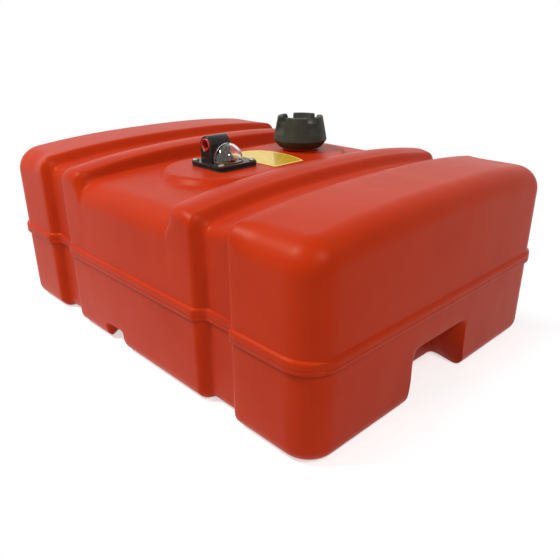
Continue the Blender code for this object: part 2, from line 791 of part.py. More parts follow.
def tank_shell(material):
    """Hollow moulding with its boss, neck and screw seats."""
    shell = solid("tank_shell", *skin(0.0, True), material)
    combine(shell, solid("boss_guide", *boss_shape(0.0)), "UNION")
    neck = turned(((0, BOSS_TOP - WALL / 2), (NECK_RADIUS, BOSS_TOP - WALL / 2),
                   (NECK_RADIUS, NECK_TOP), (0, NECK_TOP)), ROUND_STEPS, False)
    combine(shell, solid("neck_guide", *moved(neck, at(CAP_X, CAP_Y))), "UNION")

    cavity = solid("cavity_guide", *skin(WALL, False))
    combine(cavity, solid("boss_cavity_guide", *boss_shape(WALL)), "UNION")
    seats = joined(*[moved(rod(SCREW_BOSS_RADIUS, BOSS_TOP - WALL - SCREW_BOSS_DEPTH, BOSS_TOP - WALL / 2),
                           at(x, y)) for x, y in screw_places()])
    combine(cavity, solid("seat_guide", *seats), "DIFFERENCE")
    combine(shell, cavity, "DIFFERENCE")

    bores = [moved(rod(NECK_BORE, BOSS_TOP - WALL - OVERRUN, NECK_TOP + OVERRUN, ROUND_STEPS),
                   at(CAP_X, CAP_Y)),
             moved(rod(GAUGE_HOLE_RADIUS, BOSS_TOP - WALL - OVERRUN, BOSS_TOP + OVERRUN, ROUND_STEPS),
                   at(GAUGE_X, GAUGE_Y))]
    _, _, _, flange_high = flange_levels()
    tip = flange_high + GAP - SCREW_SHANK_LENGTH
    bores += [moved(rod(SCREW_SHANK_RADIUS + GAP, tip - GAP, BOSS_TOP + OVERRUN), at(x, y))
              for x, y in screw_places()]
    combine(shell, solid("bore_guide", *joined(*bores)), "DIFFERENCE")
    planar = shell.modifiers.new("merge_flat_faces", "DECIMATE")
    planar.decimate_type = "DISSOLVE"
    planar.angle_limit = FLAT_ANGLE


def cap_height(radius, angle):
    """Height of the cap's top: lobes round a hollow middle, with gaps between them."""
    pitch = math.tau / CAP_LOBES
    turn = (angle - CAP_LOBE_TURN + pitch / 2) % pitch - pitch / 2
    gap_share = ramp((abs(turn) - CAP_LOBE_HALF_ANGLE)
                     / (pitch / 2 - CAP_GAP_HALF_ANGLE - CAP_LOBE_HALF_ANGLE))
    middle_share = ramp((CAP_HOLLOW_RADIUS + CAP_HOLLOW_SPREAD - radius) / CAP_HOLLOW_SPREAD)
    return CAP_TOP - CAP_GAP_DEPTH * max(gap_share, middle_share), gap_share


def filler_cap(material, insert_material, rubber):
    """Cap shell with four lobes, its threaded insert and its sealing ring."""
    steps = CAP_LOBES * CAP_LOBE_STEPS
    inner_radius = CAP_FOOT_RADIUS - CAP_SHELL_WALL
    gasket_low = NECK_TOP + GAP
    insert_low = gasket_low + GASKET_THICKNESS + GAP
    insert_high = insert_low + INSERT_DISC
    inner_top = insert_high + VALVE_FLANGE + GAP + GAP
    radii = (CAP_HOLLOW_RADIUS, CAP_HOLLOW_RADIUS + CAP_HOLLOW_SPREAD, CAP_TOP_RADIUS - CAP_ROUND)
    side = (CAP_TOP - CAP_ROUND, CAP_TOP - CAP_SCALLOP_FOOT + CAP_SCALLOP_RUN,
            CAP_TOP - CAP_SCALLOP_FOOT, CAP_WIDEST_HEIGHT)

    def wall_radius(height):
        share = (height - CAP_WIDEST_HEIGHT) / (CAP_TOP - CAP_WIDEST_HEIGHT)
        return CAP_WIDEST_RADIUS + (CAP_TOP_RADIUS - CAP_WIDEST_RADIUS) * max(share, 0.0)

    rows = [[Vector((0, 0, inner_top))]]

    def add_ring(radius, height):
        rows.append([Vector((radius * math.cos(math.tau * k / steps),
                             radius * math.sin(math.tau * k / steps), height)) for k in range(steps)])

    add_ring(inner_radius, inner_top)
    add_ring(inner_radius, CAP_BOTTOM)
    add_ring(CAP_FOOT_RADIUS, CAP_BOTTOM)
    for height in side[::-1]:
        row = []
        for k in range(steps):
            angle = math.tau * k / steps
            top, gap_share = cap_height(CAP_TOP_RADIUS, angle)
            level = min(height, top - CAP_ROUND)
            depth = ramp((level - CAP_TOP + CAP_SCALLOP_FOOT) / CAP_SCALLOP_RUN) * gap_share
            radius = wall_radius(level) - CAP_SCALLOP_DEPTH * depth
            row.append(Vector((radius * math.cos(angle), radius * math.sin(angle), level)))
        rows.append(row)
    for radius in radii[::-1]:
        row = []
        for k in range(steps):
            angle = math.tau * k / steps
            top, gap_share = cap_height(radius, angle)
            at_radius = radius
            if radius == radii[-1]:
                at_radius -= CAP_SCALLOP_DEPTH * gap_share
            row.append(Vector((at_radius * math.cos(angle), at_radius * math.sin(angle), top)))
        rows.append(row)
    rows.append([Vector((0, 0, CAP_TOP - CAP_GAP_DEPTH))])

    points = [p for row in rows for p in row]
    starts = [sum(len(row) for row in rows[:r]) for r in range(len(rows))]
    faces = []
    for r in range(len(rows) - 1):
        low, high = rows[r], rows[r + 1]
        for k in range(steps):
            n = (k + 1) % steps
            face = [starts[r] + k % len(low), starts[r] + n % len(low),
                    starts[r + 1] + n % len(high), starts[r + 1] + k % len(high)]
            face = list(dict.fromkeys(face))
            if len(face) > 2:
                faces.append(face)
    solid("filler_cap_shell", *moved((points, faces), at(CAP_X, CAP_Y)), material)

    outer = inner_radius - GAP
    inner = NECK_RADIUS + GAP
    hole = VALVE_RADIUS + GAP
    insert = turned(((hole, insert_high), (hole, insert_low), (inner, insert_low), (inner, INSERT_FOOT),
                     (outer, INSERT_FOOT), (outer, insert_high)), ROUND_STEPS, True)
    solid("filler_cap_insert", *moved(insert, at(CAP_X, CAP_Y)), insert_material)
    gasket = washer(NECK_BORE + GAP, NECK_RADIUS - GAP, gasket_low, gasket_low + GASKET_THICKNESS)
    solid("filler_cap_gasket", *moved(gasket, at(CAP_X, CAP_Y)), rubber)
    return insert_high


def vent_valve(insert_high, brass, rubber, steel):
    """Small breather in the middle of the cap: seat with its cage, disc and spring."""
    top = insert_high + GAP + VALVE_FLANGE
    foot = top - VALVE_HEIGHT
    room = VALVE_RADIUS - VALVE_WALL
    ceiling = top - VALVE_TOP_WALL
    seat = turned(((VALVE_ORIFICE, top), (VALVE_ORIFICE, ceiling), (room, ceiling),
                   (room, foot + VALVE_WALL), (VALVE_OUTLET, foot + VALVE_WALL), (VALVE_OUTLET, foot),
                   (VALVE_RADIUS, foot), (VALVE_RADIUS, insert_high + GAP),
                   (VALVE_FLANGE_RADIUS, insert_high + GAP), (VALVE_FLANGE_RADIUS, top)),
                  SMALL_ROUND_STEPS, True)
    solid("vent_valve_seat", *moved(seat, at(CAP_X, CAP_Y)), brass)
    disc_high = ceiling - GAP
    disc_low = disc_high - VALVE_DISC_THICKNESS
    solid("vent_valve_disc", *moved(rod(VALVE_DISC_RADIUS, disc_low, disc_high), at(CAP_X, CAP_Y)), rubber)

    low = foot + VALVE_WALL + GAP + SPRING_WIRE
    high = disc_low - GAP - SPRING_WIRE
    curve = bpy.data.curves.new("vent_valve_spring", "CURVE")
    curve.dimensions = "3D"
    curve.bevel_depth = SPRING_WIRE
    curve.bevel_resolution = 1
    curve.use_fill_caps = True
    spline = curve.splines.new("POLY")
    spline.points.add(SPRING_CURLS * SPRING_STEPS)
    for k, point in enumerate(spline.points):
        angle = math.tau * k / SPRING_STEPS
        height = low + (high - low) * k / (SPRING_CURLS * SPRING_STEPS)
        point.co = (CAP_X + SPRING_RADIUS * math.cos(angle), CAP_Y + SPRING_RADIUS * math.sin(angle),
                    height, 1)
    place("vent_valve_spring", curve, steel)


def hood(foot, side):
    """Dark round hood under the lens, on the front side of the flag."""
    profile = [(0, -HOOD_RADIUS)]
    for k in range(1, SMALL_ROUND_STEPS):
        tilt = math.pi * (k / SMALL_ROUND_STEPS - 1 / 2)
        profile.append((HOOD_RADIUS * math.cos(tilt), HOOD_RADIUS * math.sin(tilt)))
    profile.append((0, HOOD_RADIUS))
    middle = BARREL_X + BARREL_RADIUS
    ball = moved(turned(profile, ROUND_STEPS, False), at(middle, LENS_MIDDLE_Y, foot))
    quarter = solid("hood_guide", *ball)
    room = block(middle - OVERRUN, middle + LENS_RADIUS, LENS_MIDDLE_Y - LENS_RADIUS, side,
                 foot - OVERRUN, foot + LENS_RADIUS)
    return combine(quarter, solid("hood_room_guide", *room), "INTERSECT")


def gauge_housing(material):
    """Flange with the outlet's barrel, the ears of the gauge and the pickup's spigot."""
    _, _, low, high = flange_levels()
    plate = prism(rounded_outline(FLANGE_HALF, FLANGE_HALF, FLANGE_CORNER, FILLET_STEPS), low, high)
    housing = solid("gauge_housing", *moved(plate, at(GAUGE_X, GAUGE_Y)), material)

    outline = [(BARREL_X - BARREL_RADIUS, high - FLANGE_THICKNESS / 2),
               (BARREL_X + BARREL_RADIUS, high - FLANGE_THICKNESS / 2)]
    for k in range(SMALL_ROUND_STEPS // 2 + 1):
        angle = math.tau * k / SMALL_ROUND_STEPS
        outline.append((BARREL_X + BARREL_RADIUS * math.cos(angle),
                        BARREL_Z + BARREL_RADIUS * math.sin(angle)))
    upright = prism([(x, -z) for x, z in outline][::-1], BARREL_FRONT, BARREL_BACK)
    barrel = moved(upright, Matrix.Rotation(-math.pi / 2, 4, "X"))
    combine(housing, solid("barrel_guide", *barrel), "UNION")
    slot = FLAG_THICKNESS / 2 + GAP
    combine(housing, hood(high, PIVOT_Y - slot - GAP), "UNION")

    ears = []
    for side in (-1, 1):
        middle = PIVOT_Y + side * (EAR_GAP + EAR_THICKNESS) / 2
        ears.append(block(PIVOT_X - EAR_HALF_WIDTH, PIVOT_X + EAR_HALF_WIDTH, middle - EAR_THICKNESS / 2,
                          middle + EAR_THICKNESS / 2, PIVOT_Z - EAR_HALF_WIDTH, low + OVERRUN))
    spigot_radius = PICKUP_RADIUS - SPIGOT_WALL - GAP
    ears.append(moved(rod(spigot_radius, low - SPIGOT_LENGTH, low + OVERRUN), at(PICKUP_X, PICKUP_Y)))
    combine(housing, solid("ear_guide", *joined(*ears)), "UNION")

    passage = spigot_radius - SPIGOT_WALL
    passage_end = BARREL_BACK - BARREL_FRONT - PASSAGE_BACK_WALL
    port = turned(((0, -OVERRUN), (PORT_RADIUS, -OVERRUN), (PORT_RADIUS, PORT_DEPTH),
                   (PASSAGE_RADIUS, PORT_DEPTH), (PASSAGE_RADIUS, passage_end), (0, passage_end)),
                  ROUND_STEPS, False)
    bores = [moved(port, along_y(BARREL_X, BARREL_FRONT, BARREL_Z)),
             moved(rod(PIN_RADIUS + RUNNING_GAP, -EAR_GAP, EAR_GAP), along_y(PIVOT_X, PIVOT_Y, PIVOT_Z))]
    bores += [moved(rod(SCREW_SHANK_RADIUS + GAP, low - OVERRUN, high + OVERRUN), at(x, y))
              for x, y in screw_places()]
    combine(housing, solid("housing_bore_guide", *joined(*bores)), "DIFFERENCE")
    down = moved(rod(passage, low - SPIGOT_LENGTH - OVERRUN, BARREL_Z), at(PICKUP_X, PICKUP_Y))
    combine(housing, solid("down_guide", *down), "DIFFERENCE")

    swing = (EMPTY_ANGLE - FULL_ANGLE) / 2 + FLAG_HEAD_HALF_ANGLE
    reach = FLAG_REACH + WINDOW_MARGIN
    half = reach * math.sin(swing) + WINDOW_MARGIN
    window = block(PIVOT_X - half, PIVOT_X + half, PIVOT_Y - slot, PIVOT_Y + slot,
                   low - OVERRUN, PIVOT_Z + reach)
    combine(housing, solid("window_guide", *window), "DIFFERENCE")


def gauge_gasket(material):
    """Flat gasket under the flange."""
    low, high, _, _ = flange_levels()
    plate = prism(rounded_outline(FLANGE_HALF - GAP, FLANGE_HALF - GAP, FLANGE_CORNER, FILLET_STEPS),
                  low, high)
    gasket = solid("gauge_gasket", *moved(plate, at(GAUGE_X, GAUGE_Y)), material)
    bores = [moved(rod(GAUGE_HOLE_RADIUS + GAP, low - OVERRUN, high + OVERRUN, ROUND_STEPS),
                   at(GAUGE_X, GAUGE_Y))]
    bores += [moved(rod(SCREW_SHANK_RADIUS + GAP, low - OVERRUN, high + OVERRUN), at(x, y))
              for x, y in screw_places()]
    combine(gasket, solid("gasket_bore_guide", *joined(*bores)), "DIFFERENCE")


def gauge_lens(clear, seal_material):
    """Clear quarter dome beside the barrel, on its thin seal."""
    _, _, _, high = flange_levels()
    face = BARREL_X + BARREL_RADIUS + GAP
    seat = high + GAP + SEAL_THICKNESS + GAP
    around, upward = SMALL_ROUND_STEPS, SMALL_ROUND_STEPS // 2
    points = []
    for radius in (LENS_RADIUS, LENS_RADIUS - LENS_WALL):
        for r in range(upward + 1):
            tilt = math.pi / 2 * r / upward
            for k in range(around + 1):
                angle = math.pi * (k / around - 1 / 2)
                points.append(Vector((face + radius * math.cos(tilt) * math.cos(angle),
                                      LENS_MIDDLE_Y + radius * math.cos(tilt) * math.sin(angle),
                                      seat + radius * math.sin(tilt))))
    row = around + 1
    shift = row * (upward + 1)
    faces = []
    for r in range(upward):
        for k in range(around):
            face_ids = [r * row + k, r * row + k + 1, (r + 1) * row + k + 1, (r + 1) * row + k]
            if r == upward - 1:
                pole = upward * row
                outer = [face_ids[0], face_ids[1], pole]
                faces.append(outer)
                faces.append([shift + i for i in outer][::-1])
                continue
            faces.append(face_ids)
            faces.append([shift + i for i in face_ids][::-1])
    for k in range(around):
        faces.append([k + 1, k, shift + k, shift + k + 1])
    for r in range(upward):
        low_a, high_a = r * row, (r + 1) * row
        low_b, high_b = low_a + around, high_a + around
        if r == upward - 1:
            high_a = high_b = upward * row
        faces.append([low_a, high_a, shift + high_a, shift + low_a])
        faces.append([high_b, low_b, shift + low_b, shift + high_b])
    used = sorted({i for face_ids in faces for i in face_ids})
    index = {old: new for new, old in enumerate(used)}
    faces = [[index[i] for i in face_ids] for face_ids in faces]
    solid("gauge_lens", [points[i] for i in used], faces, clear)

    outline = []
    for radius, order in ((LENS_RADIUS, range(around + 1)),
                          (LENS_RADIUS - LENS_WALL, range(around, -1, -1))):
        for k in order:
            angle = math.pi * (k / around - 1 / 2)
            outline.append((face + radius * math.cos(angle), LENS_MIDDLE_Y + radius * math.sin(angle)))
    solid("lens_seal", *prism(outline, high + GAP, high + GAP + SEAL_THICKNESS), seal_material)


def flange_screws(material):
    """Four screws with slotted pan heads."""
    _, _, _, high = flange_levels()
    seat = high + GAP
    top = seat + SCREW_HEAD_HEIGHT
    shoulder = SCREW_HEAD_RADIUS - SCREW_HEAD_HEIGHT / 3
    for number, (x, y) in enumerate(screw_places(), 1):
        profile = ((0, seat - SCREW_SHANK_LENGTH), (SCREW_SHANK_RADIUS, seat - SCREW_SHANK_LENGTH),
                   (SCREW_SHANK_RADIUS, seat), (SCREW_HEAD_RADIUS, seat),
                   (SCREW_HEAD_RADIUS, seat + SCREW_HEAD_HEIGHT / 2), (shoulder, top), (0, top))
        screw = solid(f"flange_screw_{number}", *moved(turned(profile, SMALL_ROUND_STEPS, False), at(x, y)),
                      material)
        slot = block(-SCREW_HEAD_RADIUS, SCREW_HEAD_RADIUS, -SCREW_SLOT_WIDTH / 2, SCREW_SLOT_WIDTH / 2,
                     top - SCREW_SLOT_DEPTH, top + OVERRUN)
        turn = at(x, y) @ Matrix.Rotation(SCREW_SLOT_TURN * number, 4, "Z")
        combine(screw, solid(f"screw_slot_guide_{number}", *moved(slot, turn)), "DIFFERENCE")


def beside_pivot(points, thickness):
    """Plate from points in the XZ plane about the pivot, centred on the pivot's place across."""
    upright = prism([(x, -z) for x, z in points][::-1], -thickness / 2, thickness / 2)
    return moved(upright, at(PIVOT_X, PIVOT_Y, PIVOT_Z) @ Matrix.Rotation(-math.pi / 2, 4, "X"))


def level_gauge(flag_colour, steel, cork):
    """Flag on its pin, with the wire arm, the float and its clip, at the empty position."""
    tilt = (EMPTY_ANGLE - FULL_ANGLE) / 2

    def polar(radius, angle, sideways=0.0):
        """Point at an angle from straight up towards +X."""
        return (radius * math.sin(angle) + sideways * math.cos(angle),
                radius * math.cos(angle) - sideways * math.sin(angle))

    neck = FLAG_REACH - FLAG_HEAD_DEPTH
    head = [polar(0, tilt, -FLAG_STEM_HALF), polar(neck, tilt, -FLAG_STEM_HALF),
            polar(neck, tilt - FLAG_HEAD_HALF_ANGLE)]
    head += [polar(FLAG_REACH, tilt + FLAG_HEAD_HALF_ANGLE * (2 * k / FLAG_HEAD_STEPS - 1))
             for k in range(FLAG_HEAD_STEPS + 1)]
    head += [polar(neck, tilt + FLAG_HEAD_HALF_ANGLE), polar(neck, tilt, FLAG_STEM_HALF),
             polar(0, tilt, FLAG_STEM_HALF)]
    flag = solid("level_flag", *beside_pivot(head[::-1], FLAG_THICKNESS), flag_colour)
    hub = [polar(HUB_RADIUS, -math.tau * k / ROUND_STEPS) for k in range(ROUND_STEPS)]
    combine(flag, solid("hub_guide", *beside_pivot(hub, FLAG_THICKNESS + GAP)), "UNION")
    down = math.pi / 2 + EMPTY_ANGLE
    socket = [polar(0, down, -FLAG_SOCKET_HALF), polar(FLAG_SOCKET_LENGTH, down, -FLAG_SOCKET_HALF),
              polar(FLAG_SOCKET_LENGTH, down, FLAG_SOCKET_HALF), polar(0, down, FLAG_SOCKET_HALF)]
    combine(flag, solid("socket_guide", *beside_pivot(socket[::-1], FLAG_THICKNESS + 2 * GAP)), "UNION")
    direction = Vector((math.cos(EMPTY_ANGLE), 0, -math.sin(EMPTY_ANGLE)))
    pivot = Vector((PIVOT_X, PIVOT_Y, PIVOT_Z))
    wire_start = HUB_RADIUS + ARM_WIRE
    turn = Vector((0, 0, 1)).rotation_difference(direction).to_matrix().to_4x4()
    bores = joined(moved(rod(PIN_RADIUS + RUNNING_GAP, -EAR_GAP, EAR_GAP), along_y(*pivot)),
                   moved(rod(ARM_WIRE + RUNNING_GAP, wire_start - GAP, FLAG_SOCKET_LENGTH + OVERRUN),
                         Matrix.Translation(pivot) @ turn))
    combine(flag, solid("flag_bore_guide", *bores), "DIFFERENCE")

    half = EAR_GAP / 2 + EAR_THICKNESS
    solid("pivot_pin", *moved(rod(PIN_RADIUS, -half, half), along_y(*pivot)), steel)

    curve = bpy.data.curves.new("float_arm", "CURVE")
    curve.dimensions = "3D"
    curve.bevel_depth = ARM_WIRE
    curve.bevel_resolution = 1
    curve.use_fill_caps = True
    corner = pivot + direction * ARM_REACH
    side = Vector((0, 1, 0))
    bend = []
    for k in range(ARM_BEND_STEPS + 1):
        angle = math.pi / 2 * k / ARM_BEND_STEPS
        centre = corner - direction * ARM_BEND + side * ARM_BEND
        bend.append(centre + direction * ARM_BEND * math.sin(angle) - side * ARM_BEND * math.cos(angle))
    float_start = ARM_BEND + GAP
    float_end = float_start + FLOAT_LENGTH
    tip = float_end + GAP + CLIP_THICKNESS + OVERRUN
    route = [pivot + direction * wire_start] + bend + [corner + side * tip]
    spline = curve.splines.new("POLY")
    spline.points.add(len(route) - 1)
    for point, spot in zip(spline.points, route):
        point.co = (*spot, 1)
    place("float_arm", curve, steel)

    body = turned(((ARM_WIRE + GAP, 0), (FLOAT_RADIUS - FLOAT_ROUND, 0), (FLOAT_RADIUS, FLOAT_ROUND),
                   (FLOAT_RADIUS, FLOAT_LENGTH - FLOAT_ROUND), (FLOAT_RADIUS - FLOAT_ROUND, FLOAT_LENGTH),
                   (ARM_WIRE + GAP, FLOAT_LENGTH)), ROUND_STEPS, True)
    start = corner + side * float_start
    solid("float", *moved(body, along_y(*start)), cork)
    clip = washer(ARM_WIRE + RUNNING_GAP, CLIP_RADIUS, 0, CLIP_THICKNESS, SMALL_ROUND_STEPS)
    solid("float_clip", *moved(clip, along_y(*(corner + side * (float_end + GAP)))), steel)


def pickup(tube_material, strainer_material):
    """Tube from the fitting down to the slotted strainer over the floor."""
    _, _, low, _ = flange_levels()
    bore = PICKUP_RADIUS - SPIGOT_WALL
    tube = washer(bore, PICKUP_RADIUS, WALL + PICKUP_FOOT, low - GAP, SMALL_ROUND_STEPS)
    solid("pickup_tube", *moved(tube, at(PICKUP_X, PICKUP_Y)), tube_material)
    foot = WALL + STRAINER_FLOOR_GAP
    top = foot + STRAINER_HEIGHT
    inner = STRAINER_RADIUS - STRAINER_WALL
    collar = PICKUP_RADIUS + GAP
    cup = turned(((0, foot), (STRAINER_RADIUS, foot), (STRAINER_RADIUS, top), (collar, top),
                  (collar, top - STRAINER_WALL), (inner, top - STRAINER_WALL), (inner, foot + STRAINER_WALL),
                  (0, foot + STRAINER_WALL)), SMALL_ROUND_STEPS, False)
    strainer = solid("pickup_strainer", *moved(cup, at(PICKUP_X, PICKUP_Y)), strainer_material)
    slots = []
    for k in range(STRAINER_SLOTS):
        slot = block(collar, STRAINER_RADIUS + OVERRUN, -STRAINER_SLOT_WIDTH / 2, STRAINER_SLOT_WIDTH / 2,
                     foot + STRAINER_WALL + OVERRUN, top - STRAINER_WALL - OVERRUN)
        slots.append(moved(slot, at(PICKUP_X, PICKUP_Y)
                           @ Matrix.Rotation(math.tau * (k + 1 / 2) / STRAINER_SLOTS, 4, "Z")))
    combine(strainer, solid("strainer_slot_guide", *joined(*slots)), "DIFFERENCE")


def outlet_plug(material, rubber):
    """Hollow travel plug in the outlet, with its sealing ring."""
    outer = PORT_RADIUS - GAP
    inner = outer - PLUG_WALL
    seat = outer - O_RING_SECTION * 2
    groove_low = PLUG_LENGTH - O_RING_PLACE - O_RING_SECTION - GAP
    groove_high = PLUG_LENGTH - O_RING_PLACE + O_RING_SECTION + GAP
    plug = turned(((0, PLUG_LENGTH - PLUG_FLOOR), (inner, PLUG_LENGTH - PLUG_FLOOR), (inner, PLUG_RIM),
                   (inner + PLUG_RIM, -PLUG_PROUD), (outer - PLUG_RIM, -PLUG_PROUD), (outer, 0),
                   (outer, groove_low), (seat - GAP, groove_low), (seat - GAP, groove_high),
                   (outer, groove_high), (outer, PLUG_LENGTH - PLUG_RIM),
                   (outer - PLUG_RIM, PLUG_LENGTH), (0, PLUG_LENGTH)), ROUND_STEPS, False)
    solid("outlet_plug", *moved(plug, along_y(BARREL_X, BARREL_FRONT, BARREL_Z)), material)
    middle = seat + O_RING_SECTION
    ring = []
    for k in range(O_RING_STEPS):
        angle = math.tau * k / O_RING_STEPS
        ring.append((middle + O_RING_SECTION * math.cos(angle),
                     PLUG_LENGTH - O_RING_PLACE + O_RING_SECTION * math.sin(angle)))
    seal = turned(ring, ROUND_STEPS, True)
    solid("outlet_plug_o_ring", *moved(seal, along_y(BARREL_X, BARREL_FRONT, BARREL_Z)), rubber)


def level_label(material):
    """Thin label with a straight long edge and a bowed one."""
    outline = [(LABEL_NEAR_X - LABEL_LENGTH * u, LABEL_NEAR_Y + LABEL_WIDTH * v) for u, v in LABEL_SHARES]
    low = BOSS_TOP + GAP
    solid("level_label", *prism(outline, low, low + LABEL_THICKNESS), material)


def main():
    """Build the whole tank."""
    clear_scene()
    red_shell = finish("red_polyethylene", (0.46, 0.035, 0.012), 0.38)
    cap_black = finish("black_cap_plastic", (0.030, 0.028, 0.022), 0.45)
    fitting_black = finish("black_fitting_plastic", (0.022, 0.020, 0.018), 0.35)
    insert_grey = finish("grey_insert_plastic", (0.20, 0.20, 0.19), 0.50)
    rubber = finish("black_rubber", (0.015, 0.015, 0.015), 0.75)
    amber = finish("amber_seal", (0.45, 0.22, 0.05), 0.45)
    clear = finish("clear_lens_plastic", (0.85, 0.88, 0.88), 0.06, 0.0, 0.35)
    steel = finish("stainless_steel", (0.60, 0.60, 0.58), 0.28, 1.0)
    brass = finish("brass", (0.68, 0.50, 0.20), 0.30, 1.0)
    orange = finish("orange_flag_plastic", (0.80, 0.25, 0.02), 0.45)
    cork = finish("float_foam", (0.12, 0.10, 0.08), 0.80)
    white_tube = finish("natural_tube_plastic", (0.75, 0.74, 0.68), 0.40)
    strainer_mesh = finish("strainer_plastic", (0.80, 0.78, 0.70), 0.50)
    plug_red = finish("red_plug_plastic", (0.42, 0.020, 0.015), 0.40)
    label = finish("pale_label", (0.68, 0.62, 0.18), 0.35)

    tank_shell(red_shell)
    insert_high = filler_cap(cap_black, insert_grey, rubber)
    vent_valve(insert_high, brass, rubber, steel)
    gauge_housing(fitting_black)
    gauge_gasket(rubber)
    gauge_lens(clear, amber)
    flange_screws(steel)
    level_gauge(orange, steel, cork)
    pickup(white_tube, strainer_mesh)
    outlet_plug(plug_red, rubber)
    level_label(label)


main()
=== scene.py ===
"""Looks of the portable fuel tank, laid out as an add-on with one operator for each piece or group.

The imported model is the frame. Sizes are metres. X runs along the tank, Y across it and Z up.
"""
import math

import bpy
from bpy.props import FloatProperty, FloatVectorProperty, IntProperty, PointerProperty
from bpy.types import Operator, Panel, PropertyGroup
from mathutils import Matrix, Vector


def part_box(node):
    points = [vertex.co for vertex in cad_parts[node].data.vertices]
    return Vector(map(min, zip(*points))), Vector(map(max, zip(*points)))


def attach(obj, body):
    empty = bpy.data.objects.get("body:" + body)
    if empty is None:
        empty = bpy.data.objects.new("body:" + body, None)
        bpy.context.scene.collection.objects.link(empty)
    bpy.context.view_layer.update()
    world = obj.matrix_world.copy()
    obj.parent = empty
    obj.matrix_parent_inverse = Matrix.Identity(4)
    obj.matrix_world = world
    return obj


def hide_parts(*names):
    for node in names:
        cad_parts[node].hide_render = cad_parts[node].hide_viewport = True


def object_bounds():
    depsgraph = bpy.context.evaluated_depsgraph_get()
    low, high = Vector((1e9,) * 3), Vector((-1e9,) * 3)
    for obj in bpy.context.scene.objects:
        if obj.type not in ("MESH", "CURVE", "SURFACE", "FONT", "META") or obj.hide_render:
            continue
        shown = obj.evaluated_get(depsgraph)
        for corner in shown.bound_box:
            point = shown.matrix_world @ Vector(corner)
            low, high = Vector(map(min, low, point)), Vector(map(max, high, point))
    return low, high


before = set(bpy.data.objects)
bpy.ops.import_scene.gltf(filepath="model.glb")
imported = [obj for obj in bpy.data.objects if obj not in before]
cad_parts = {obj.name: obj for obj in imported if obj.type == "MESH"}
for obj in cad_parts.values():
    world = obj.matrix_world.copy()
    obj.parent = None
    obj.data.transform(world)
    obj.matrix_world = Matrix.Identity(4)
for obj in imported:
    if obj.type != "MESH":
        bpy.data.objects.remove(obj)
CAD_LOW, CAD_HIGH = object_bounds()

bl_info = {
    "name": "Portable fuel tank",
    "version": (1, 0, 0),
    "blender": (4, 5, 0),
    "location": "3D View > Sidebar > Fuel tank",
    "description": "Builds a moulded fuel tank with its cap, its gauge and outlet fitting, and a stage",
    "category": "Add Mesh",
}

# The photograph's frame, and the camera that was fitted to it
IMAGE_SIDE = 560
CAMERA_PLACE = Vector((0.6306, -0.5706, 0.4151))
CAMERA_YAW = 0.8012
CAMERA_PITCH = 0.4120
CAMERA_ROLL = -0.0038
CAMERA_FOCUS_PIXELS = 592.73
SENSOR_WIDTH = 36.0

# Clearance between pieces, and the overrun of cuts
GAP = 0.0003
OVERRUN = 0.002

# Steps of round shapes
ROUND_STEPS = 96
SMALL_STEPS = 48
FILLET_STEPS = 8
THREAD_SIDES = 8
CAP_LOBE_STEPS = 112
CAP_FOOT_ROWS = 12
CAP_SIDE_ROWS = 26
CAP_EDGE_ROWS = 4
CAVITY_STEPS = 4
CAVITY_CORNER_STEPS = 3
SMOOTH_ANGLE = math.radians(32)

# Steps of the shell's mesh by stretch, and how far skin and cavity stretch them
RIDGE_STEP = 0.0012
GROOVE_WALL_STEP = 0.0014
GROOVE_FLOOR_STEP = 0.005
POCKET_STEP = 0.0025
BOSS_STEP = 0.003
FLAT_STEP = 0.004
BLOCK_STEP = 0.009
LOW_WALL_STEP = 0.012
SKIN_SPACING = 1.14
CAVITY_SPACING = 4.0

# Room between the rows of the lower wall and the belt line
BELT_ROOM = 0.002

# Softness of rises: of the grooves' walls, and of ridges, boss and cap
GROOVE_SOFTNESS = 0.42
RISE_SOFTNESS = 0.45

# Neck: how far its foot stands out, its fillet and its rim, as steps out from the core and up
NECK_FOOT = 0.0030
NECK_FILLET = ((0.0026, 0.0004), (0.0006, 0.0016), (0.0, 0.0032))
NECK_RIM = ((0.0, -0.0010), (-0.0004, -0.0003), (-0.0010, 0.0))
THREAD_RUN_OUT = 0.0040
CUT_UNDER_WALL = 0.006

# Rounding of the barrel's and the hood's edges, as shares of the flange's
BARREL_EDGE_SHARE = 1.6
HOOD_EDGE_SHARE = 0.6

# Stage: half the floor's side, the run over which it fades to white, its glow by the tank, and the
# world's light on the object
FLOOR_HALF = 6.0
FLOOR_FADE = 0.06
FLOOR_GLOW = 0.60
WORLD_LIGHT = 0.19
WHITE = (1.0, 1.0, 1.0)

# Lamps with their places, sizes and watts, and the point that they face
LAMPS = (("left_lamp", (-0.75, -1.20, 1.83), 0.45, 32.0), ("right_lamp", (1.48, -0.48, 1.70), 0.40, 15.0))
LAMP_AIM = Vector((0, 0, 0.12))

# Corners of a four-sided plan, counter-clockwise
QUARTERS = ((1, 1), (-1, 1), (-1, -1), (1, -1))

# Outline of the label in shares of its reach from its near corner
LABEL_SHARES = ((0, 0.02), (0, 0.80), (0.14, 0.89), (0.33, 0.97), (0.53, 1), (0.73, 0.985),
                (0.88, 0.88), (0.97, 0.70), (1, 0.50), (1, 0.02), (0.98, 0), (0.02, 0))


def length(name, description, default):
    """Length property."""
    return FloatProperty(name=name, description=description, default=default, min=-1.0, max=1.0,
                         precision=5, unit="LENGTH")


def turn(name, description, degrees):
    """Angle property."""
    return FloatProperty(name=name, description=description, default=math.radians(degrees),
                         unit="ROTATION")


def colour(name, description, default):
    """Colour property."""
    return FloatVectorProperty(name=name, description=description, default=default, size=3,
                               min=0.0, max=1.0, subtype="COLOR")


def number(name, description, default):
    """Plain number property."""
    return FloatProperty(name=name, description=description, default=default)


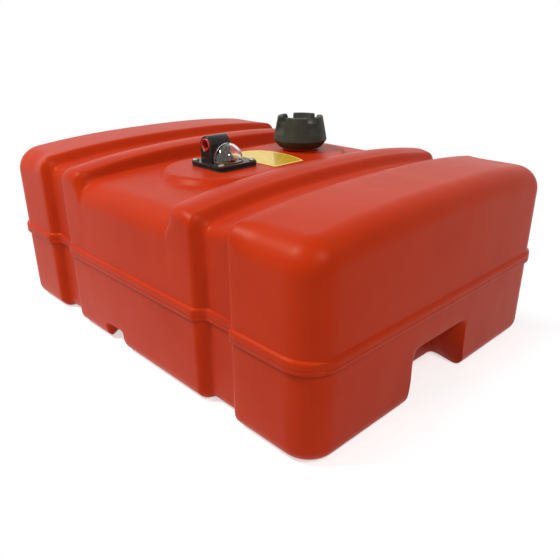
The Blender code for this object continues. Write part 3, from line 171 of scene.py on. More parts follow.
class ShellSizes(PropertyGroup):
    """Sizes of the moulded shell."""

    wall: length("Wall", "Thickness of the moulded wall", 0.004)
    corner: length("Corner radius", "Plan radius of the four corners", 0.037)
    top_round: length("Top radius", "Radius of the upper edges", 0.030)
    foot_round: length("Foot radius", "Radius of the lower edges", 0.018)
    bead: length("Belt line", "How far the belt line stands out", 0.0037)
    bead_low: length("Belt foot", "Lower edge of the belt line", 0.110)
    bead_high: length("Belt top", "Upper edge of the belt line", 0.124)
    parting: length("Parting line", "Height of the parting line on the belt", 0.1146)
    block_height: length("Block height", "End blocks at the long edges", 0.2352)
    block_crown: length("Block crown", "How much higher the blocks are in the middle", 0.0138)
    ridge_height: length("Ridge height", "Ridges at the long edges", 0.2300)
    ridge_crown: length("Ridge crown", "How much higher the ridges are in the middle", 0.0169)
    ridge_hump: length("Ridge hump", "How much higher a ridge is along its own middle", 0.0032)
    ridge_turn: length("Ridge turn", "Plan radius of the ridges' inner ends", 0.0160)
    ridge_round: length("Ridge radius", "Radius of the upper edges over ridges and grooves", 0.0130)
    round_in: length("Inner run", "Run over which that radius sets in", 0.0140)
    round_out: length("Outer run", "Run over which it fades on the end blocks", 0.0450)
    recess_height: length("Panel height", "Middle panel at the long edges", 0.2195)
    recess_crown: length("Panel crown", "How much higher the panel is in the middle", 0.0090)
    crown_power: number("Crown power", "How the pillowed top falls towards the edges", 2.5)
    middle: length("Pattern middle", "Middle of grooves and ridges along the tank", -0.003)
    ridge_foot: length("Ridge foot", "Foot of the ridges from the pattern's middle", 0.0965)
    ridge_crest: length("Ridge crest", "Start of the ridges' top", 0.105)
    groove_place: length("Groove place", "Middle of the strap grooves", 0.1775)
    groove_width: length("Groove width", "Width of a strap groove at its rim", 0.070)
    groove_floor: length("Groove floor", "Width of a strap groove's floor", 0.037)
    groove_side: length("Groove side depth", "Depth of the grooves in the long sides", 0.0125)
    groove_top: length("Groove top depth", "Depth of the grooves in the top", 0.0135)
    groove_foot: length("Groove foot depth", "Depth of the grooves under the base", 0.006)


class PocketSizes(PropertyGroup):
    """Sizes of the hand holds in the ends and of the notch in the long side."""

    hold_depth: length("Hold depth", "How deep the hand holds are", 0.050)
    hold_roof: length("Hold roof", "Height of the hand holds' roof", 0.073)
    hold_half_roof: length("Hold half width at the roof", "Half the width under the roof", 0.051)
    hold_half_foot: length("Hold half width at the foot", "Half the width at the base", 0.068)
    hold_middle: length("Hold middle", "Middle of the hand holds across the tank", -0.003)
    hold_taper: length("Hold taper", "Run of the side walls", 0.014)
    hold_lip: length("Hold lip", "Rounding of the roof's outer edge", 0.005)
    hold_back: length("Hold back rounding", "Rounding between back and roof", 0.014)
    hold_foot: length("Hold foot rounding", "Rounding between base and back", 0.008)
    notch_depth: length("Notch depth", "How deep the side notch is", 0.030)
    notch_roof: length("Notch roof", "Height of the notch's roof", 0.028)
    notch_roof_middle: length("Notch middle at the roof", "Middle along the tank", -0.049)
    notch_foot_middle: length("Notch middle at the foot", "Middle along the tank", -0.0555)
    notch_half_roof: length("Notch half width at the roof", "Half the width there", 0.017)
    notch_half_foot: length("Notch half width at the foot", "Half the width there", 0.0385)
    notch_taper: length("Notch taper", "Run of the side walls", 0.014)
    notch_lip: length("Notch lip", "Rounding of the roof's outer edge", 0.003)
    notch_back: length("Notch back rounding", "Rounding between back and roof", 0.006)
    notch_foot: length("Notch foot rounding", "Rounding between base and back", 0.005)
    notch_fade: length("Notch fade", "Run over which the wall takes up the slant", 0.045)


class BossSizes(PropertyGroup):
    """Sizes of the raised boss and of the filler neck on it."""

    place: length("Boss place", "Middle of the boss along the tank", 0.002)
    top: length("Boss top", "Height of the boss's flat top", 0.2355)
    radius: length("Boss radius", "Radius of its round ends", 0.067)
    spread: length("Boss slope", "Run of its sloping rim", 0.012)
    reach: length("Boss reach", "Half its straight length", 0.078)
    neck_x: length("Neck along", "Middle of the neck along the tank", -0.003)
    neck_y: length("Neck across", "Middle of the neck across the tank", 0.087)
    neck_bore: length("Neck bore", "Radius of the neck's bore", 0.0225)
    neck_radius: length("Neck radius", "Radius of the neck over its thread", 0.0264)
    neck_top: length("Neck top", "Height of the neck's rim", 0.2635)
    thread_depth: length("Thread depth", "How far the thread stands out", 0.0014)
    thread_pitch: length("Thread pitch", "Climb of the thread in one turn", 0.0060)
    thread_turns: number("Thread turns", "Turns of the thread", 2.5)


class CapSizes(PropertyGroup):
    """Sizes of the filler cap."""

    bottom: length("Cap foot", "Height of the cap's lower rim", 0.2405)
    foot_radius: length("Foot radius", "Radius of the lower rim", 0.0325)
    widest_radius: length("Widest radius", "Largest radius", 0.0403)
    widest_height: length("Widest height", "Height of the largest radius", 0.2515)
    top_radius: length("Top radius", "Radius at the top", 0.0337)
    top: length("Cap top", "Height of the lobes", 0.2853)
    rounding: length("Edge rounding", "Rounding of the lobes' edges", 0.0018)
    lobes: IntProperty(name="Lobes", description="Number of lobes", default=4, min=2, max=8)
    lobe_turn: turn("Lobe turn", "Where the first lobe stands", 33)
    lobe_half: turn("Lobe half angle", "Half the angle of a lobe's top", 29)
    gap_half: turn("Gap half angle", "Half the angle of a gap's floor", 12)
    gap_depth: length("Gap depth", "Depth of the gaps between the lobes", 0.0082)
    hollow_radius: length("Hollow radius", "Radius of the hollow middle", 0.0245)
    hollow_spread: length("Hollow slope", "Run of the hollow's wall", 0.0030)
    scallop_depth: length("Scallop depth", "Depth of the finger scallops under the gaps", 0.0042)
    scallop_foot: length("Scallop foot", "Foot of the scallops from the top", 0.0262)
    scallop_run: length("Scallop run", "Run-out of the scallops", 0.0110)
    flutes: IntProperty(name="Flutes", description="Faint flutes round the skirt", default=56)
    flute_depth: length("Flute depth", "Depth of the flutes", 0.00022)
    shell_wall: length("Cap wall", "Thickness of the skirt", 0.0025)


class FittingSizes(PropertyGroup):
    """Sizes of the gauge and outlet fitting."""

    place_x: length("Flange along", "Middle of the flange along the tank", 0.003)
    place_y: length("Flange across", "Middle of the flange across the tank", -0.067)
    half: length("Flange half width", "Half the flange's side", 0.0330)
    corner: length("Flange corner", "Corner radius of the flange", 0.0070)
    edge: length("Edge rounding", "Rounding of the moulded edges", 0.0007)
    barrel_x: length("Barrel along", "Axis of the outlet's barrel", -0.006)
    barrel_z: length("Barrel height", "Height of the barrel's axis", 0.2650)
    barrel_radius: length("Barrel radius", "Radius of the barrel", 0.0115)
    barrel_front: length("Barrel front", "Front face of the barrel", -0.0905)
    barrel_back: length("Barrel back", "Back face of the barrel", -0.0570)
    port_radius: length("Port radius", "Radius of the outlet's mouth", 0.0090)
    port_depth: length("Port depth", "Depth of the outlet's mouth", 0.0200)
    lens_radius: length("Lens radius", "Radius of the clear quarter dome", 0.0220)
    lens_wall: length("Lens wall", "Thickness of the dome", 0.0016)
    lens_y: length("Lens across", "Middle of the dome across the tank", -0.0645)
    hood_radius: length("Hood radius", "Radius of the dark hood in the dome", 0.0170)
    hole: length("Gauge hole", "Radius of the hole under the flange", 0.0210)
    screw_place: length("Screw place", "Screws from the flange's middle", 0.0270)
    screw_head: length("Screw head", "Radius of a screw's head", 0.0042)
    screw_shank: length("Screw shank", "Radius of a screw's shank", 0.0019)
    screw_slot: length("Screw slot", "Width of the slot in a screw's head", 0.0011)
    screw_turn: turn("Screw turn", "Turn from one screw's slot to the next", 35)
    ear_gap: length("Ear gap", "Room between the pivot's ears", 0.0060)
    ear: length("Ear thickness", "Thickness of an ear", 0.0025)
    ear_half: length("Ear half width", "Half the width of an ear", 0.0045)
    spigot: length("Spigot radius", "Radius of the spigot in the pickup tube", 0.0027)
    spigot_length: length("Spigot length", "Length of the spigot under the flange", 0.0160)


class GaugeSizes(PropertyGroup):
    """Sizes of the level flag, its arm, and the pickup."""

    pivot_x: length("Pivot along", "Pivot of the flag along the tank", 0.010)
    pivot_y: length("Pivot across", "Pivot of the flag across the tank", -0.064)
    pivot_z: length("Pivot height", "Height of the pivot", 0.2260)
    pin: length("Pin radius", "Radius of the pivot pin", 0.0015)
    flag_reach: length("Flag reach", "Tip of the flag from the pivot", 0.0260)
    flag_thickness: length("Flag thickness", "Thickness of the flag", 0.0036)
    empty: turn("Empty angle", "Arm under the level at empty", 58)
    full: turn("Full angle", "Arm under the level at full", 8)
    arm_reach: length("Arm reach", "Length of the float's arm", 0.2400)
    arm_wire: length("Arm wire", "Radius of the wire", 0.0012)
    arm_bend: length("Arm bend", "Bend radius of the wire", 0.0060)
    hub: length("Hub radius", "Radius of the flag's hub", 0.0038)
    float_round: length("Float rounding", "Rounding of the float's ends", 0.0040)
    tube_wall: length("Tube wall", "Wall of the pickup tube", 0.0010)
    strainer_wall: length("Strainer wall", "Wall of the strainer", 0.0012)
    slots: IntProperty(name="Strainer slots", description="Slots round the strainer", default=6,
                       min=3, max=16)
    slot_width: length("Slot width", "Width of a strainer slot", 0.0022)


class LabelSizes(PropertyGroup):
    """Sizes of the level label."""

    near_x: length("Near corner along", "Near corner of the label along the tank", 0.0595)
    near_y: length("Near corner across", "Near corner of the label across the tank", -0.0255)
    reach_x: length("Label length", "Length along the tank", 0.1070)
    reach_y: length("Label width", "Width across the tank", 0.0680)
    border: length("Border", "Width of the border", 0.0042)
    # The darker field is painted reflection: it stands for the black cap mirrored in the glossy label; the
    # printed wedge lines step from its edge.
    reflection_edge_turn: turn("Field turn", "Where the darker field starts, about the near corner", 41.5)
    line_turn: turn("Line step", "Step between the wedge lines", 13)
    line_half: turn("Line half width", "Half the width of a wedge line", RISE_SOFTNESS)


class FinishColours(PropertyGroup):
    """Colours of the finishes and of the floor."""

    shell: colour("Shell", "Red polyethylene", (0.550, 0.034, 0.004))
    shell_deep: colour("Shell, deep", "Darker mottling of the polyethylene", (0.490, 0.025, 0.003))
    cap: colour("Cap", "Black cap plastic", (0.031, 0.031, 0.020))
    fitting: colour("Fitting", "Black plastic of the fitting", (0.013, 0.012, 0.011))
    hood: colour("Hood", "Dull plastic under the lens", (0.003, 0.002, 0.0015))
    # Painted reflection: the brown streaks stand in for the streaked reflections seen through the lens, not a
    # colour of the plastic.
    hood_painted_reflection: colour("Hood, streaks", "Brown streaks under the lens", (0.17, 0.060, 0.020))
    insert: colour("Cap insert", "Grey plastic", (0.20, 0.20, 0.19))
    rubber: colour("Rubber", "Seals and gaskets", (0.015, 0.015, 0.015))
    steel: colour("Steel", "Pin and wire", (0.55, 0.54, 0.51))
    screw: colour("Screw", "Dark screws of the flange", (0.34, 0.31, 0.25))
    brass: colour("Brass", "Breather valve", (0.68, 0.50, 0.20))
    flag: colour("Flag", "Level flag", (0.72, 0.17, 0.02))
    foam: colour("Float", "Nitrile foam", (0.12, 0.10, 0.08))
    tube: colour("Tube", "Natural tube plastic", (0.75, 0.74, 0.68))
    plug: colour("Plug", "Red travel plug", (0.50, 0.030, 0.016))
    label: colour("Label", "Pale field of the label", (0.84, 0.60, 0.10))
    # Painted reflection: this darker field stands for the black cap mirrored in the glossy label, not a
    # printed colour.
    label_painted_reflection: colour("Label field", "Darker field of the label", (0.58, 0.37, 0.012))
    label_border: colour("Label border", "Border of the label", (1.0, 0.70, 0.12))
    # Painted glint: the amber stands in for the lit orange line along the lens's foot, not the seal's own
    # colour.
    seal: colour("Lens seal", "Amber seal under the lens", (0.50, 0.24, 0.05))
    floor: colour("Floor", "Pale floor", (0.80, 0.80, 0.80))


class Value:
    """Socket of a node tree that takes Python's operators."""

    def __init__(self, tree, socket):
        self.tree = tree
        self.socket = socket

    def __add__(self, other):
        return self.tree.math("ADD", self, other)

    def __sub__(self, other):
        return self.tree.math("SUBTRACT", self, other)

    def __rsub__(self, other):
        return self.tree.math("SUBTRACT", other, self)

    def __mul__(self, other):
        return self.tree.math("MULTIPLY", self, other)

    def __rtruediv__(self, other):
        return self.tree.math("DIVIDE", other, self)

    def __abs__(self):
        return self.tree.math("ABSOLUTE", self)

    def above(self, other):
        """1 where this is more than the other value, else 0."""
        return self.tree.math("GREATER_THAN", self, other)

    def between(self, low, high):
        """Smooth rise from 0 at the low value to 1 at the high one."""
        return self.tree.value("ShaderNodeMapRange", {"interpolation_type": "SMOOTHSTEP"},
                               {"Value": self, "From Min": low, "From Max": high}, "Result")

    __radd__ = __add__
    __rmul__ = __mul__


class Tree:
    """Node tree with one method that adds any node."""

    def __init__(self, tree):
        self.tree = tree

    def add(self, kind, settings=None, inputs=None):
        """Node of this kind with its settings made first, then its inputs."""
        node = self.tree.nodes.new(kind)
        for name, setting in (settings or {}).items():
            setattr(node, name, setting)
        for key, given in (inputs or {}).items():
            self.give(node.inputs[key], given)
        return node

    def give(self, socket, given):
        """Give a socket a value or a link."""
        if isinstance(given, Value):
            self.tree.links.new(given.socket, socket)
        elif socket.type == "RGBA":
            socket.default_value = (*given, 1.0)
        else:
            socket.default_value = given

    def value(self, kind, settings, inputs, output):
        """Output of a new node."""
        return Value(self, self.add(kind, settings, inputs).outputs[output])

    def math(self, operation, *operands):
        """Math node on one to three operands."""
        return self.value("ShaderNodeMath", {"operation": operation}, dict(enumerate(operands)), 0)

    def mix(self, factor, first, second):
        """Colour between two colours."""
        settings = {"data_type": "RGBA"}
        node = self.add("ShaderNodeMix", settings, {0: factor, 6: first, 7: second})
        return Value(self, node.outputs[2])

    def noise(self, vector, scale, detail=2.0, roughness=0.5, distortion=0.0):
        """Noise value about one half."""
        return self.value("ShaderNodeTexNoise", {},
                          {"Vector": vector, "Scale": scale, "Detail": detail, "Roughness": roughness,
                           "Distortion": distortion}, 0)

    def bump(self, height, depth, normal=None):
        """Normal of a relief with this depth in metres."""
        inputs = {"Height": height, "Distance": depth, "Strength": 1.0}
        if normal:
            inputs["Normal"] = normal
        return self.value("ShaderNodeBump", {}, inputs, 0)

    def stretched(self, vector, scale):
        """Vector scaled along each axis."""
        return self.value("ShaderNodeVectorMath", {"operation": "MULTIPLY"}, {0: vector, 1: scale}, 0)


class Finish(Tree):
    """Material with one Principled shader, and the place on the piece as its vector."""

    def __init__(self, name, tint, roughness, metallic=0.0, **sockets):
        self.material = bpy.data.materials.new(name)
        self.material.use_nodes = True
        super().__init__(self.material.node_tree)
        self.shader = self.tree.nodes["Principled BSDF"]
        self.place = self.value("ShaderNodeTexCoord", {}, {}, "Object")
        self.set("Base Color", tint)
        self.set("Roughness", roughness)
        self.set("Metallic", metallic)
        for socket, given in sockets.items():
            self.set(socket.replace("_", " "), given)
        self.material.diffuse_color = (*tint, 1.0)

    def set(self, name, given):
        """Give the shader's socket a value or a link."""
        self.give(self.shader.inputs[name], given)


def red_polyethylene(c):
    """Moulded red polyethylene: satin, softly uneven, with a fine orange peel and faint scuffs."""
    finish = Finish("red_polyethylene", c.shell, 0.4, Specular_IOR_Level=0.11,
                    Specular_Tint=(1.0, 0.86, 0.60))
    clouds = finish.noise(finish.place, 9.0, 3.0, 0.55)
    specks = finish.noise(finish.place, 420.0, 2.0)
    streaks = finish.noise(finish.stretched(finish.place, (60.0, 420.0, 420.0)), 1.0, 3.0, 0.6, 0.4)
    scuffs = streaks.between(0.62, 0.74) * clouds.between(0.48, 0.62)
    tint = finish.mix(clouds.between(0.35, 0.70) * 0.55, c.shell, c.shell_deep)
    tint = finish.mix(specks.between(0.60, 0.80) * 0.08, tint, (0.64, 0.10, 0.05))
    tint = finish.mix(scuffs * 0.10, tint, (0.70, 0.20, 0.12))
    finish.set("Base Color", tint)
    finish.set("Roughness", 0.32 + clouds * 0.08 + specks * 0.05 + scuffs * 0.12)
    waves = finish.noise(finish.place, 22.0, 1.0)
    peel = finish.noise(finish.place, 620.0, 1.0)
    normal = finish.bump(waves, 0.0009)
    normal = finish.bump(peel, 0.00005, normal)
    finish.set("Normal", normal)
    return finish.material


def black_plastic(name, tint, roughness, grain, depth):
    """Black moulded plastic with a fine grain."""
    finish = Finish(name, tint, roughness, Specular_IOR_Level=0.22)
    clouds = finish.noise(finish.place, 60.0, 2.0)
    fine = finish.noise(finish.place, grain, 2.0)
    paler = tuple(channel * 1.6 + 0.004 for channel in tint)
    finish.set("Base Color", finish.mix(clouds.between(0.35, 0.75) * 0.6, tint, paler))
    finish.set("Roughness", roughness - 0.05 + clouds * 0.08 + fine * 0.05)
    finish.set("Normal", finish.bump(fine, depth))
    return finish.material


def hood_plastic(c):
    """Dull dark plastic with painted reflection: brown streaks down it stand in for the streaked reflections
    seen through the lens.
    """
    finish = Finish("dark_hood_plastic", c.hood, 0.6, Specular_IOR_Level=0.0)
    streaks = finish.noise(finish.stretched(finish.place, (380.0, 380.0, 40.0)), 1.0, 3.0, 0.6)
    # Painted reflection: the vertical brown streaks are reflections painted into the base colour.
    finish.set("Base Color", finish.mix(streaks.between(0.50, 0.66), c.hood, c.hood_painted_reflection))
    finish.set("Roughness", 0.45 + streaks * 0.25)
    finish.set("Normal", finish.bump(streaks, 0.0001))
    return finish.material


def plain_plastic(name, tint, roughness, **sockets):
    """Moulded plastic with soft clouding and a little grain."""
    finish = Finish(name, tint, roughness, **sockets)
    clouds = finish.noise(finish.place, 90.0, 2.0)
    fine = finish.noise(finish.place, 900.0, 1.0)
    deeper = tuple(channel * 0.78 for channel in tint)
    finish.set("Base Color", finish.mix(clouds.between(0.35, 0.70) * 0.6, tint, deeper))
    finish.set("Roughness", roughness - 0.04 + fine * 0.08)
    finish.set("Normal", finish.bump(fine, 0.00003))
    return finish.material


def bare_metal(name, tint, roughness):
    """Metal with fine turning marks."""
    finish = Finish(name, tint, roughness, 1.0)
    marks = finish.noise(finish.stretched(finish.place, (300.0, 300.0, 4200.0)), 1.0, 2.0)
    stain = finish.noise(finish.place, 130.0, 2.0)
    deeper = tuple(channel * 0.6 for channel in tint)
    finish.set("Base Color", finish.mix(stain.between(0.5, 0.8) * 0.5, tint, deeper))
    finish.set("Roughness", roughness - 0.06 + marks * 0.12)
    finish.set("Normal", finish.bump(marks, 0.00001))
    return finish.material


def rubber_finish(c):
    """Dull black rubber with a fine bloom."""
    finish = Finish("black_rubber", c.rubber, 0.75)
    bloom = finish.noise(finish.place, 200.0, 3.0)
    finish.set("Base Color", finish.mix(bloom.between(0.45, 0.75) * 0.5, c.rubber, (0.05, 0.05, 0.05)))
    finish.set("Roughness", 0.66 + bloom * 0.14)
    finish.set("Normal", finish.bump(bloom, 0.00004))
    return finish.material


def foam_finish(c):
    """Float foam with small pores."""
    finish = Finish("float_foam", c.foam, 0.85)
    cells = finish.value("ShaderNodeTexVoronoi", {}, {"Vector": finish.place, "Scale": 700.0}, 0)
    finish.set("Base Color", finish.mix(cells.between(0.0, 0.6), (0.05, 0.04, 0.03), c.foam))
    finish.set("Normal", finish.bump(cells, 0.0002))
    return finish.material


def clear_plastic():
    """Clear lens plastic with a few faint hairlines."""
    finish = Finish("clear_lens_plastic", (0.96, 0.97, 0.97), 0.05, IOR=1.49, Transmission_Weight=1.0)
    hairs = finish.noise(finish.stretched(finish.place, (150.0, 900.0, 900.0)), 1.0, 2.0)
    finish.set("Roughness", 0.03 + hairs.between(0.62, 0.75) * 0.12)
    return finish.material


def label_finish(name, tint, field=None):
    """Printed film with a faint mottle and printed wedge lines spreading from the label's near corner; a
    darker field there is painted reflection of the cap.
    """
    finish = Finish(name, tint, 0.42, Coat_Weight=0.2, Coat_Roughness=0.3)
    mottle = finish.noise(finish.place, 160.0, 3.0)
    deeper = tuple(channel * 0.8 for channel in tint)
    shown = finish.mix(mottle.between(0.35, 0.75) * 0.6, tint, deeper)
    if field:
        sizes = bpy.context.scene.tank_label
        parts = finish.add("ShaderNodeSeparateXYZ", {}, {0: finish.place})
        along, across = Value(finish, parts.outputs[0]), Value(finish, parts.outputs[1])
        angle = finish.math("ARCTAN2", across - sizes.near_y, sizes.near_x - along)
        # Painted reflection: past this turn the label is darkened to stand in for the cap's reflection.
        shown = finish.mix(angle.above(sizes.reflection_edge_turn), shown, field)
        for step in (-2, -1, 0, 1):
            line = abs(angle - (sizes.reflection_edge_turn + step * sizes.line_turn))
            shown = finish.mix((1 - line.above(sizes.line_half)) * 0.55, shown,
                               bpy.context.scene.tank_colours.label_border)
    finish.set("Base Color", shown)
    finish.set("Roughness", 0.38 + mottle * 0.12)
    return finish.material


FINISHES = {
    "shell": red_polyethylene,
    "cap": lambda c: black_plastic("black_cap_plastic", c.cap, 0.50, 1500.0, 0.00006),
    "fitting": lambda c: black_plastic("black_fitting_plastic", c.fitting, 0.24, 1100.0, 0.00001),
    # The hood's finish carries the painted reflection streaks.
    "hood": hood_plastic,
    "cap_insert": lambda c: plain_plastic("grey_insert_plastic", c.insert, 0.50),
    "rubber": rubber_finish,
    "steel": lambda c: bare_metal("stainless_steel", c.steel, 0.28),
    "screw": lambda c: bare_metal("dark_screw_steel", c.screw, 0.30),
    "brass": lambda c: bare_metal("brass", c.brass, 0.30),
    "flag": lambda c: plain_plastic("orange_flag_plastic", c.flag, 0.35),
    "foam": foam_finish,
    "tube": lambda c: plain_plastic("natural_tube_plastic", c.tube, 0.40),
    "strainer": lambda c: plain_plastic("strainer_plastic", c.tube, 0.50),
    "plug": lambda c: plain_plastic("red_plug_plastic", c.plug, 0.32),
    "lens": lambda c: clear_plastic(),
    # Painted glint: the seal's amber stands in for the lit rim at the lens's foot.
    "seal": lambda c: plain_plastic("amber_seal", c.seal, 0.40),
    # The label's darker field is painted reflection of the cap.
    "label": lambda c: label_finish("label_fields", c.label, c.label_painted_reflection),
    "label_border": lambda c: label_finish("label_border", c.label_border),
}
made_finishes = {}


def finish_for(slot):
    """The finish of a slot, made once."""
    if slot not in made_finishes:
        made_finishes[slot] = FINISHES[slot](bpy.context.scene.tank_colours)
    return made_finishes[slot]


def mesh_object(name, points, faces, finishes=()):
    """Object from points and faces."""
    mesh = bpy.data.meshes.new(name)
    mesh.from_pydata([tuple(p) for p in points], [], faces)
    mesh.update()
    for slot in finishes:
        mesh.materials.append(finish_for(slot))
    item = bpy.data.objects.new(name, mesh)
    bpy.context.scene.collection.objects.link(item)
    shade(mesh)
    return item


def shade(mesh):
    """Smooth shading with sharp edges past the smooth angle."""
    mesh.shade_smooth()
    mesh.set_sharp_from_angle(angle=SMOOTH_ANGLE)


def applied(item):
    """Turn the object's modifiers into its mesh."""
    graph = bpy.context.evaluated_depsgraph_get()
    mesh = bpy.data.meshes.new_from_object(item.evaluated_get(graph), depsgraph=graph)
    item.modifiers.clear()
    old = item.data
    item.data = mesh
    bpy.data.meshes.remove(old)
    return item


def combine(item, other, operation):
    """Exact Boolean of two objects, applied; the second one is removed."""
    modifier = item.modifiers.new(operation, "BOOLEAN")
    modifier.operation = operation
    modifier.solver = "EXACT"
    modifier.object = other
    applied(item)
    bpy.data.objects.remove(other, do_unlink=True)
    return item


def rounded(item, width, segments=3, angle=math.radians(35)):
    """Rounded edges of a width, applied."""
    modifier = item.modifiers.new("edges", "BEVEL")
    modifier.width = width
    modifier.segments = segments
    modifier.limit_method = "ANGLE"
    modifier.angle_limit = angle
    modifier.use_clamp_overlap = True
    modifier.harden_normals = False
    applied(item)
    shade(item.data)
    return item


def finished(item, body, slot, *nodes):
    """Let the piece ride on its body in place of its nodes."""
    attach(item, body)
    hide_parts(*nodes)
    return item


def turned(profile, steps=ROUND_STEPS, looped=False):
    """Points and faces of a shape turned about Z from (radius, height) pairs, up its outer side."""
    points, rows = [], []
    for radius, height in profile:
        count = steps if radius > 0 else 1
        rows.append([len(points) + k for k in range(count)])
        for k in range(count):
            angle = math.tau * k / steps
            points.append(Vector((radius * math.cos(angle), radius * math.sin(angle), height)))
    pairs = list(zip(rows, rows[1:]))
    if looped:
        pairs.append((rows[-1], rows[0]))
    return points, strips(pairs, steps)


def strips(pairs, steps):
    """Faces between pairs of closed rows, where a row of one is a pole."""
    faces = []
    for low, high in pairs:
        for k in range(steps):
            n = (k + 1) % steps
            face = [low[k % len(low)], low[n % len(low)], high[n % len(high)], high[k % len(high)]]
            face = list(dict.fromkeys(face))
            if len(face) > 2:
                faces.append(face)
    return faces


def prism(outline, low, high):
    """Points and faces of an upright prism on a counter-clockwise outline."""
    count = len(outline)
    points = [Vector((x, y, z)) for z in (low, high) for x, y in outline]
    faces = [list(range(count))[::-1], list(range(count, 2 * count))]
    for k in range(count):
        n = (k + 1) % count
        faces.append([k, n, count + n, count + k])
    return points, faces


def moved(shape, matrix):
    """The same shape elsewhere."""
    return [matrix @ p for p in shape[0]], shape[1]


def joined(*shapes):
    """Several separate shapes as one."""
    points, faces = [], []
    for more_points, more_faces in shapes:
        start = len(points)
        points.extend(more_points)
        faces.extend([start + k for k in face] for face in more_faces)
    return points, faces


def rod(radius, low, high, steps=SMALL_STEPS):
    """Plain round rod along Z."""
    return turned(((0, low), (radius, low), (radius, high), (0, high)), steps)


def block(x_low, x_high, y_low, y_high, z_low, z_high):
    """Plain box shape."""
    return prism(((x_low, y_low), (x_high, y_low), (x_high, y_high), (x_low, y_high)), z_low, z_high)


def at(x, y, z=0.0):
    """Shift to a place."""
    return Matrix.Translation((x, y, z))


def along_y(x, y, z):
    """Turn an upright shape so that its height runs along +Y from this place."""
    return at(x, y, z) @ Matrix.Rotation(-math.pi / 2, 4, "X")


def rounded_plan(half_x, half_y, radius, steps=FILLET_STEPS):
    """Counter-clockwise rectangle with round corners about the origin."""
    outline = []
    for quarter, (side_x, side_y) in enumerate(QUARTERS):
        for k in range(steps + 1):
            angle = math.pi / 2 * (quarter + k / steps)
            outline.append((side_x * (half_x - radius) + radius * math.cos(angle),
                            side_y * (half_y - radius) + radius * math.sin(angle)))
    return outline


def ramp(share, softness=0.3):
    """Rise from 0 to 1 over a share from 0 to 1, with rounded ends."""
    share = min(max(share, 0.0), 1.0)
    peak = 1 / (1 - softness)
    if share < softness:
        return peak * share * share / (2 * softness)
    if share > 1 - softness:
        rest = 1 - share
        return 1 - peak * rest * rest / (2 * softness)
    return peak * (share - softness / 2)


def rounded_path(corners, radii, steps):
    """Polyline through the corners, each rounded by its radius."""
    path = [Vector(corners[0])]
    for before, corner, after, radius in zip(corners, corners[1:], corners[2:], radii):
        corner = Vector(corner)
        back = (Vector(before) - corner).normalized()
        ahead = (Vector(after) - corner).normalized()
        for k in range(steps + 1):
            share = k / steps
            start = corner + back * radius * (1 - share)
            path.append(start.lerp(corner + ahead * radius * share, share))
    path.append(Vector(corners[-1]))
    return path


class Recess:
    """A pocket pressed into the foot of a wall: it leads the plain skin over its back and roof."""

    def __init__(self, reach, inset, foot_round, depth, roof, middles, halves, taper, rounds, fade):
        self.wall = reach
        self.inset = inset
        self.back = reach - depth
        self.roof = roof + inset
        self.middle_roof, self.middle_foot = middles
        self.half_roof, self.half_foot = (half + inset for half in halves)
        self.taper = taper
        self.fade = fade
        self.radius = foot_round - inset
        self.flat = self.wall - self.radius - self.back
        self.arc = self.radius * math.pi / 2
        self.total = self.flat + self.arc + self.roof - inset - self.radius
        corners = ((self.back - rounds[0], inset), (self.back, inset), (self.back, self.roof),
                   (self.wall, self.roof), (self.wall, self.roof + rounds[2]))
        self.path = rounded_path(corners, rounds, FILLET_STEPS * 2)
        self.steps = [(b - a).length for a, b in zip(self.path, self.path[1:])]
        self.before = rounds[0]
        self.after = rounds[2]

    def distance(self, out, z):
        """Length along the plain skin from the pocket's back."""
        if z >= self.inset + self.radius:
            return self.flat + self.arc + z - self.inset - self.radius
        over = out - (self.wall - self.radius)
        if over <= 0:
            return out - self.back
        return self.flat + self.radius * math.atan2(over, self.inset + self.radius - z)

    def on_path(self, share):
        """Point at a share of the path's length."""
        left = share * sum(self.steps)
        for start, end, step in zip(self.path, self.path[1:], self.steps):
            if step > 0 and left <= step:
                return start.lerp(end, left / step)
            left -= step
        return self.path[-1]

    def lead(self, out, across, z):
        """Where a point of the plain skin goes."""
        share = (self.distance(out, z) + self.before) / (self.total + self.before + self.after)
        target = self.on_path(min(max(share, 0.0), 1.0))
        sunk = min(max(1 - (target.y - self.inset) / (self.roof - self.inset), 0.0), 1.0)
        middle = self.middle_roof + (self.middle_foot - self.middle_roof) * sunk
        widening = (self.half_foot - self.half_roof) * sunk
        side = across - self.middle_roof
        edge = self.half_roof
        nearness = 1 - min(max((abs(side) - edge) / self.fade, 0.0), 1.0)
        new_across = across + nearness * (middle - self.middle_roof)
        new_across += math.copysign(widening, side) * min(abs(side) / edge, 1.0) * nearness
        if not 0 < share < 1:
            return out, new_across, z
        weight = ramp((edge + self.taper / 2 - abs(side)) / self.taper)
        return out + weight * (target.x - out), new_across, z + weight * (target.y - z)


def spread(*spans):
    """Places along a line from (start, end, step) spans that follow each other."""
    places = [spans[0][0]]
    for start, end, step in spans:
        count = max(1, round((end - start) / step))
        places += [start + (end - start) * k / count for k in range(1, count + 1)]
    return places


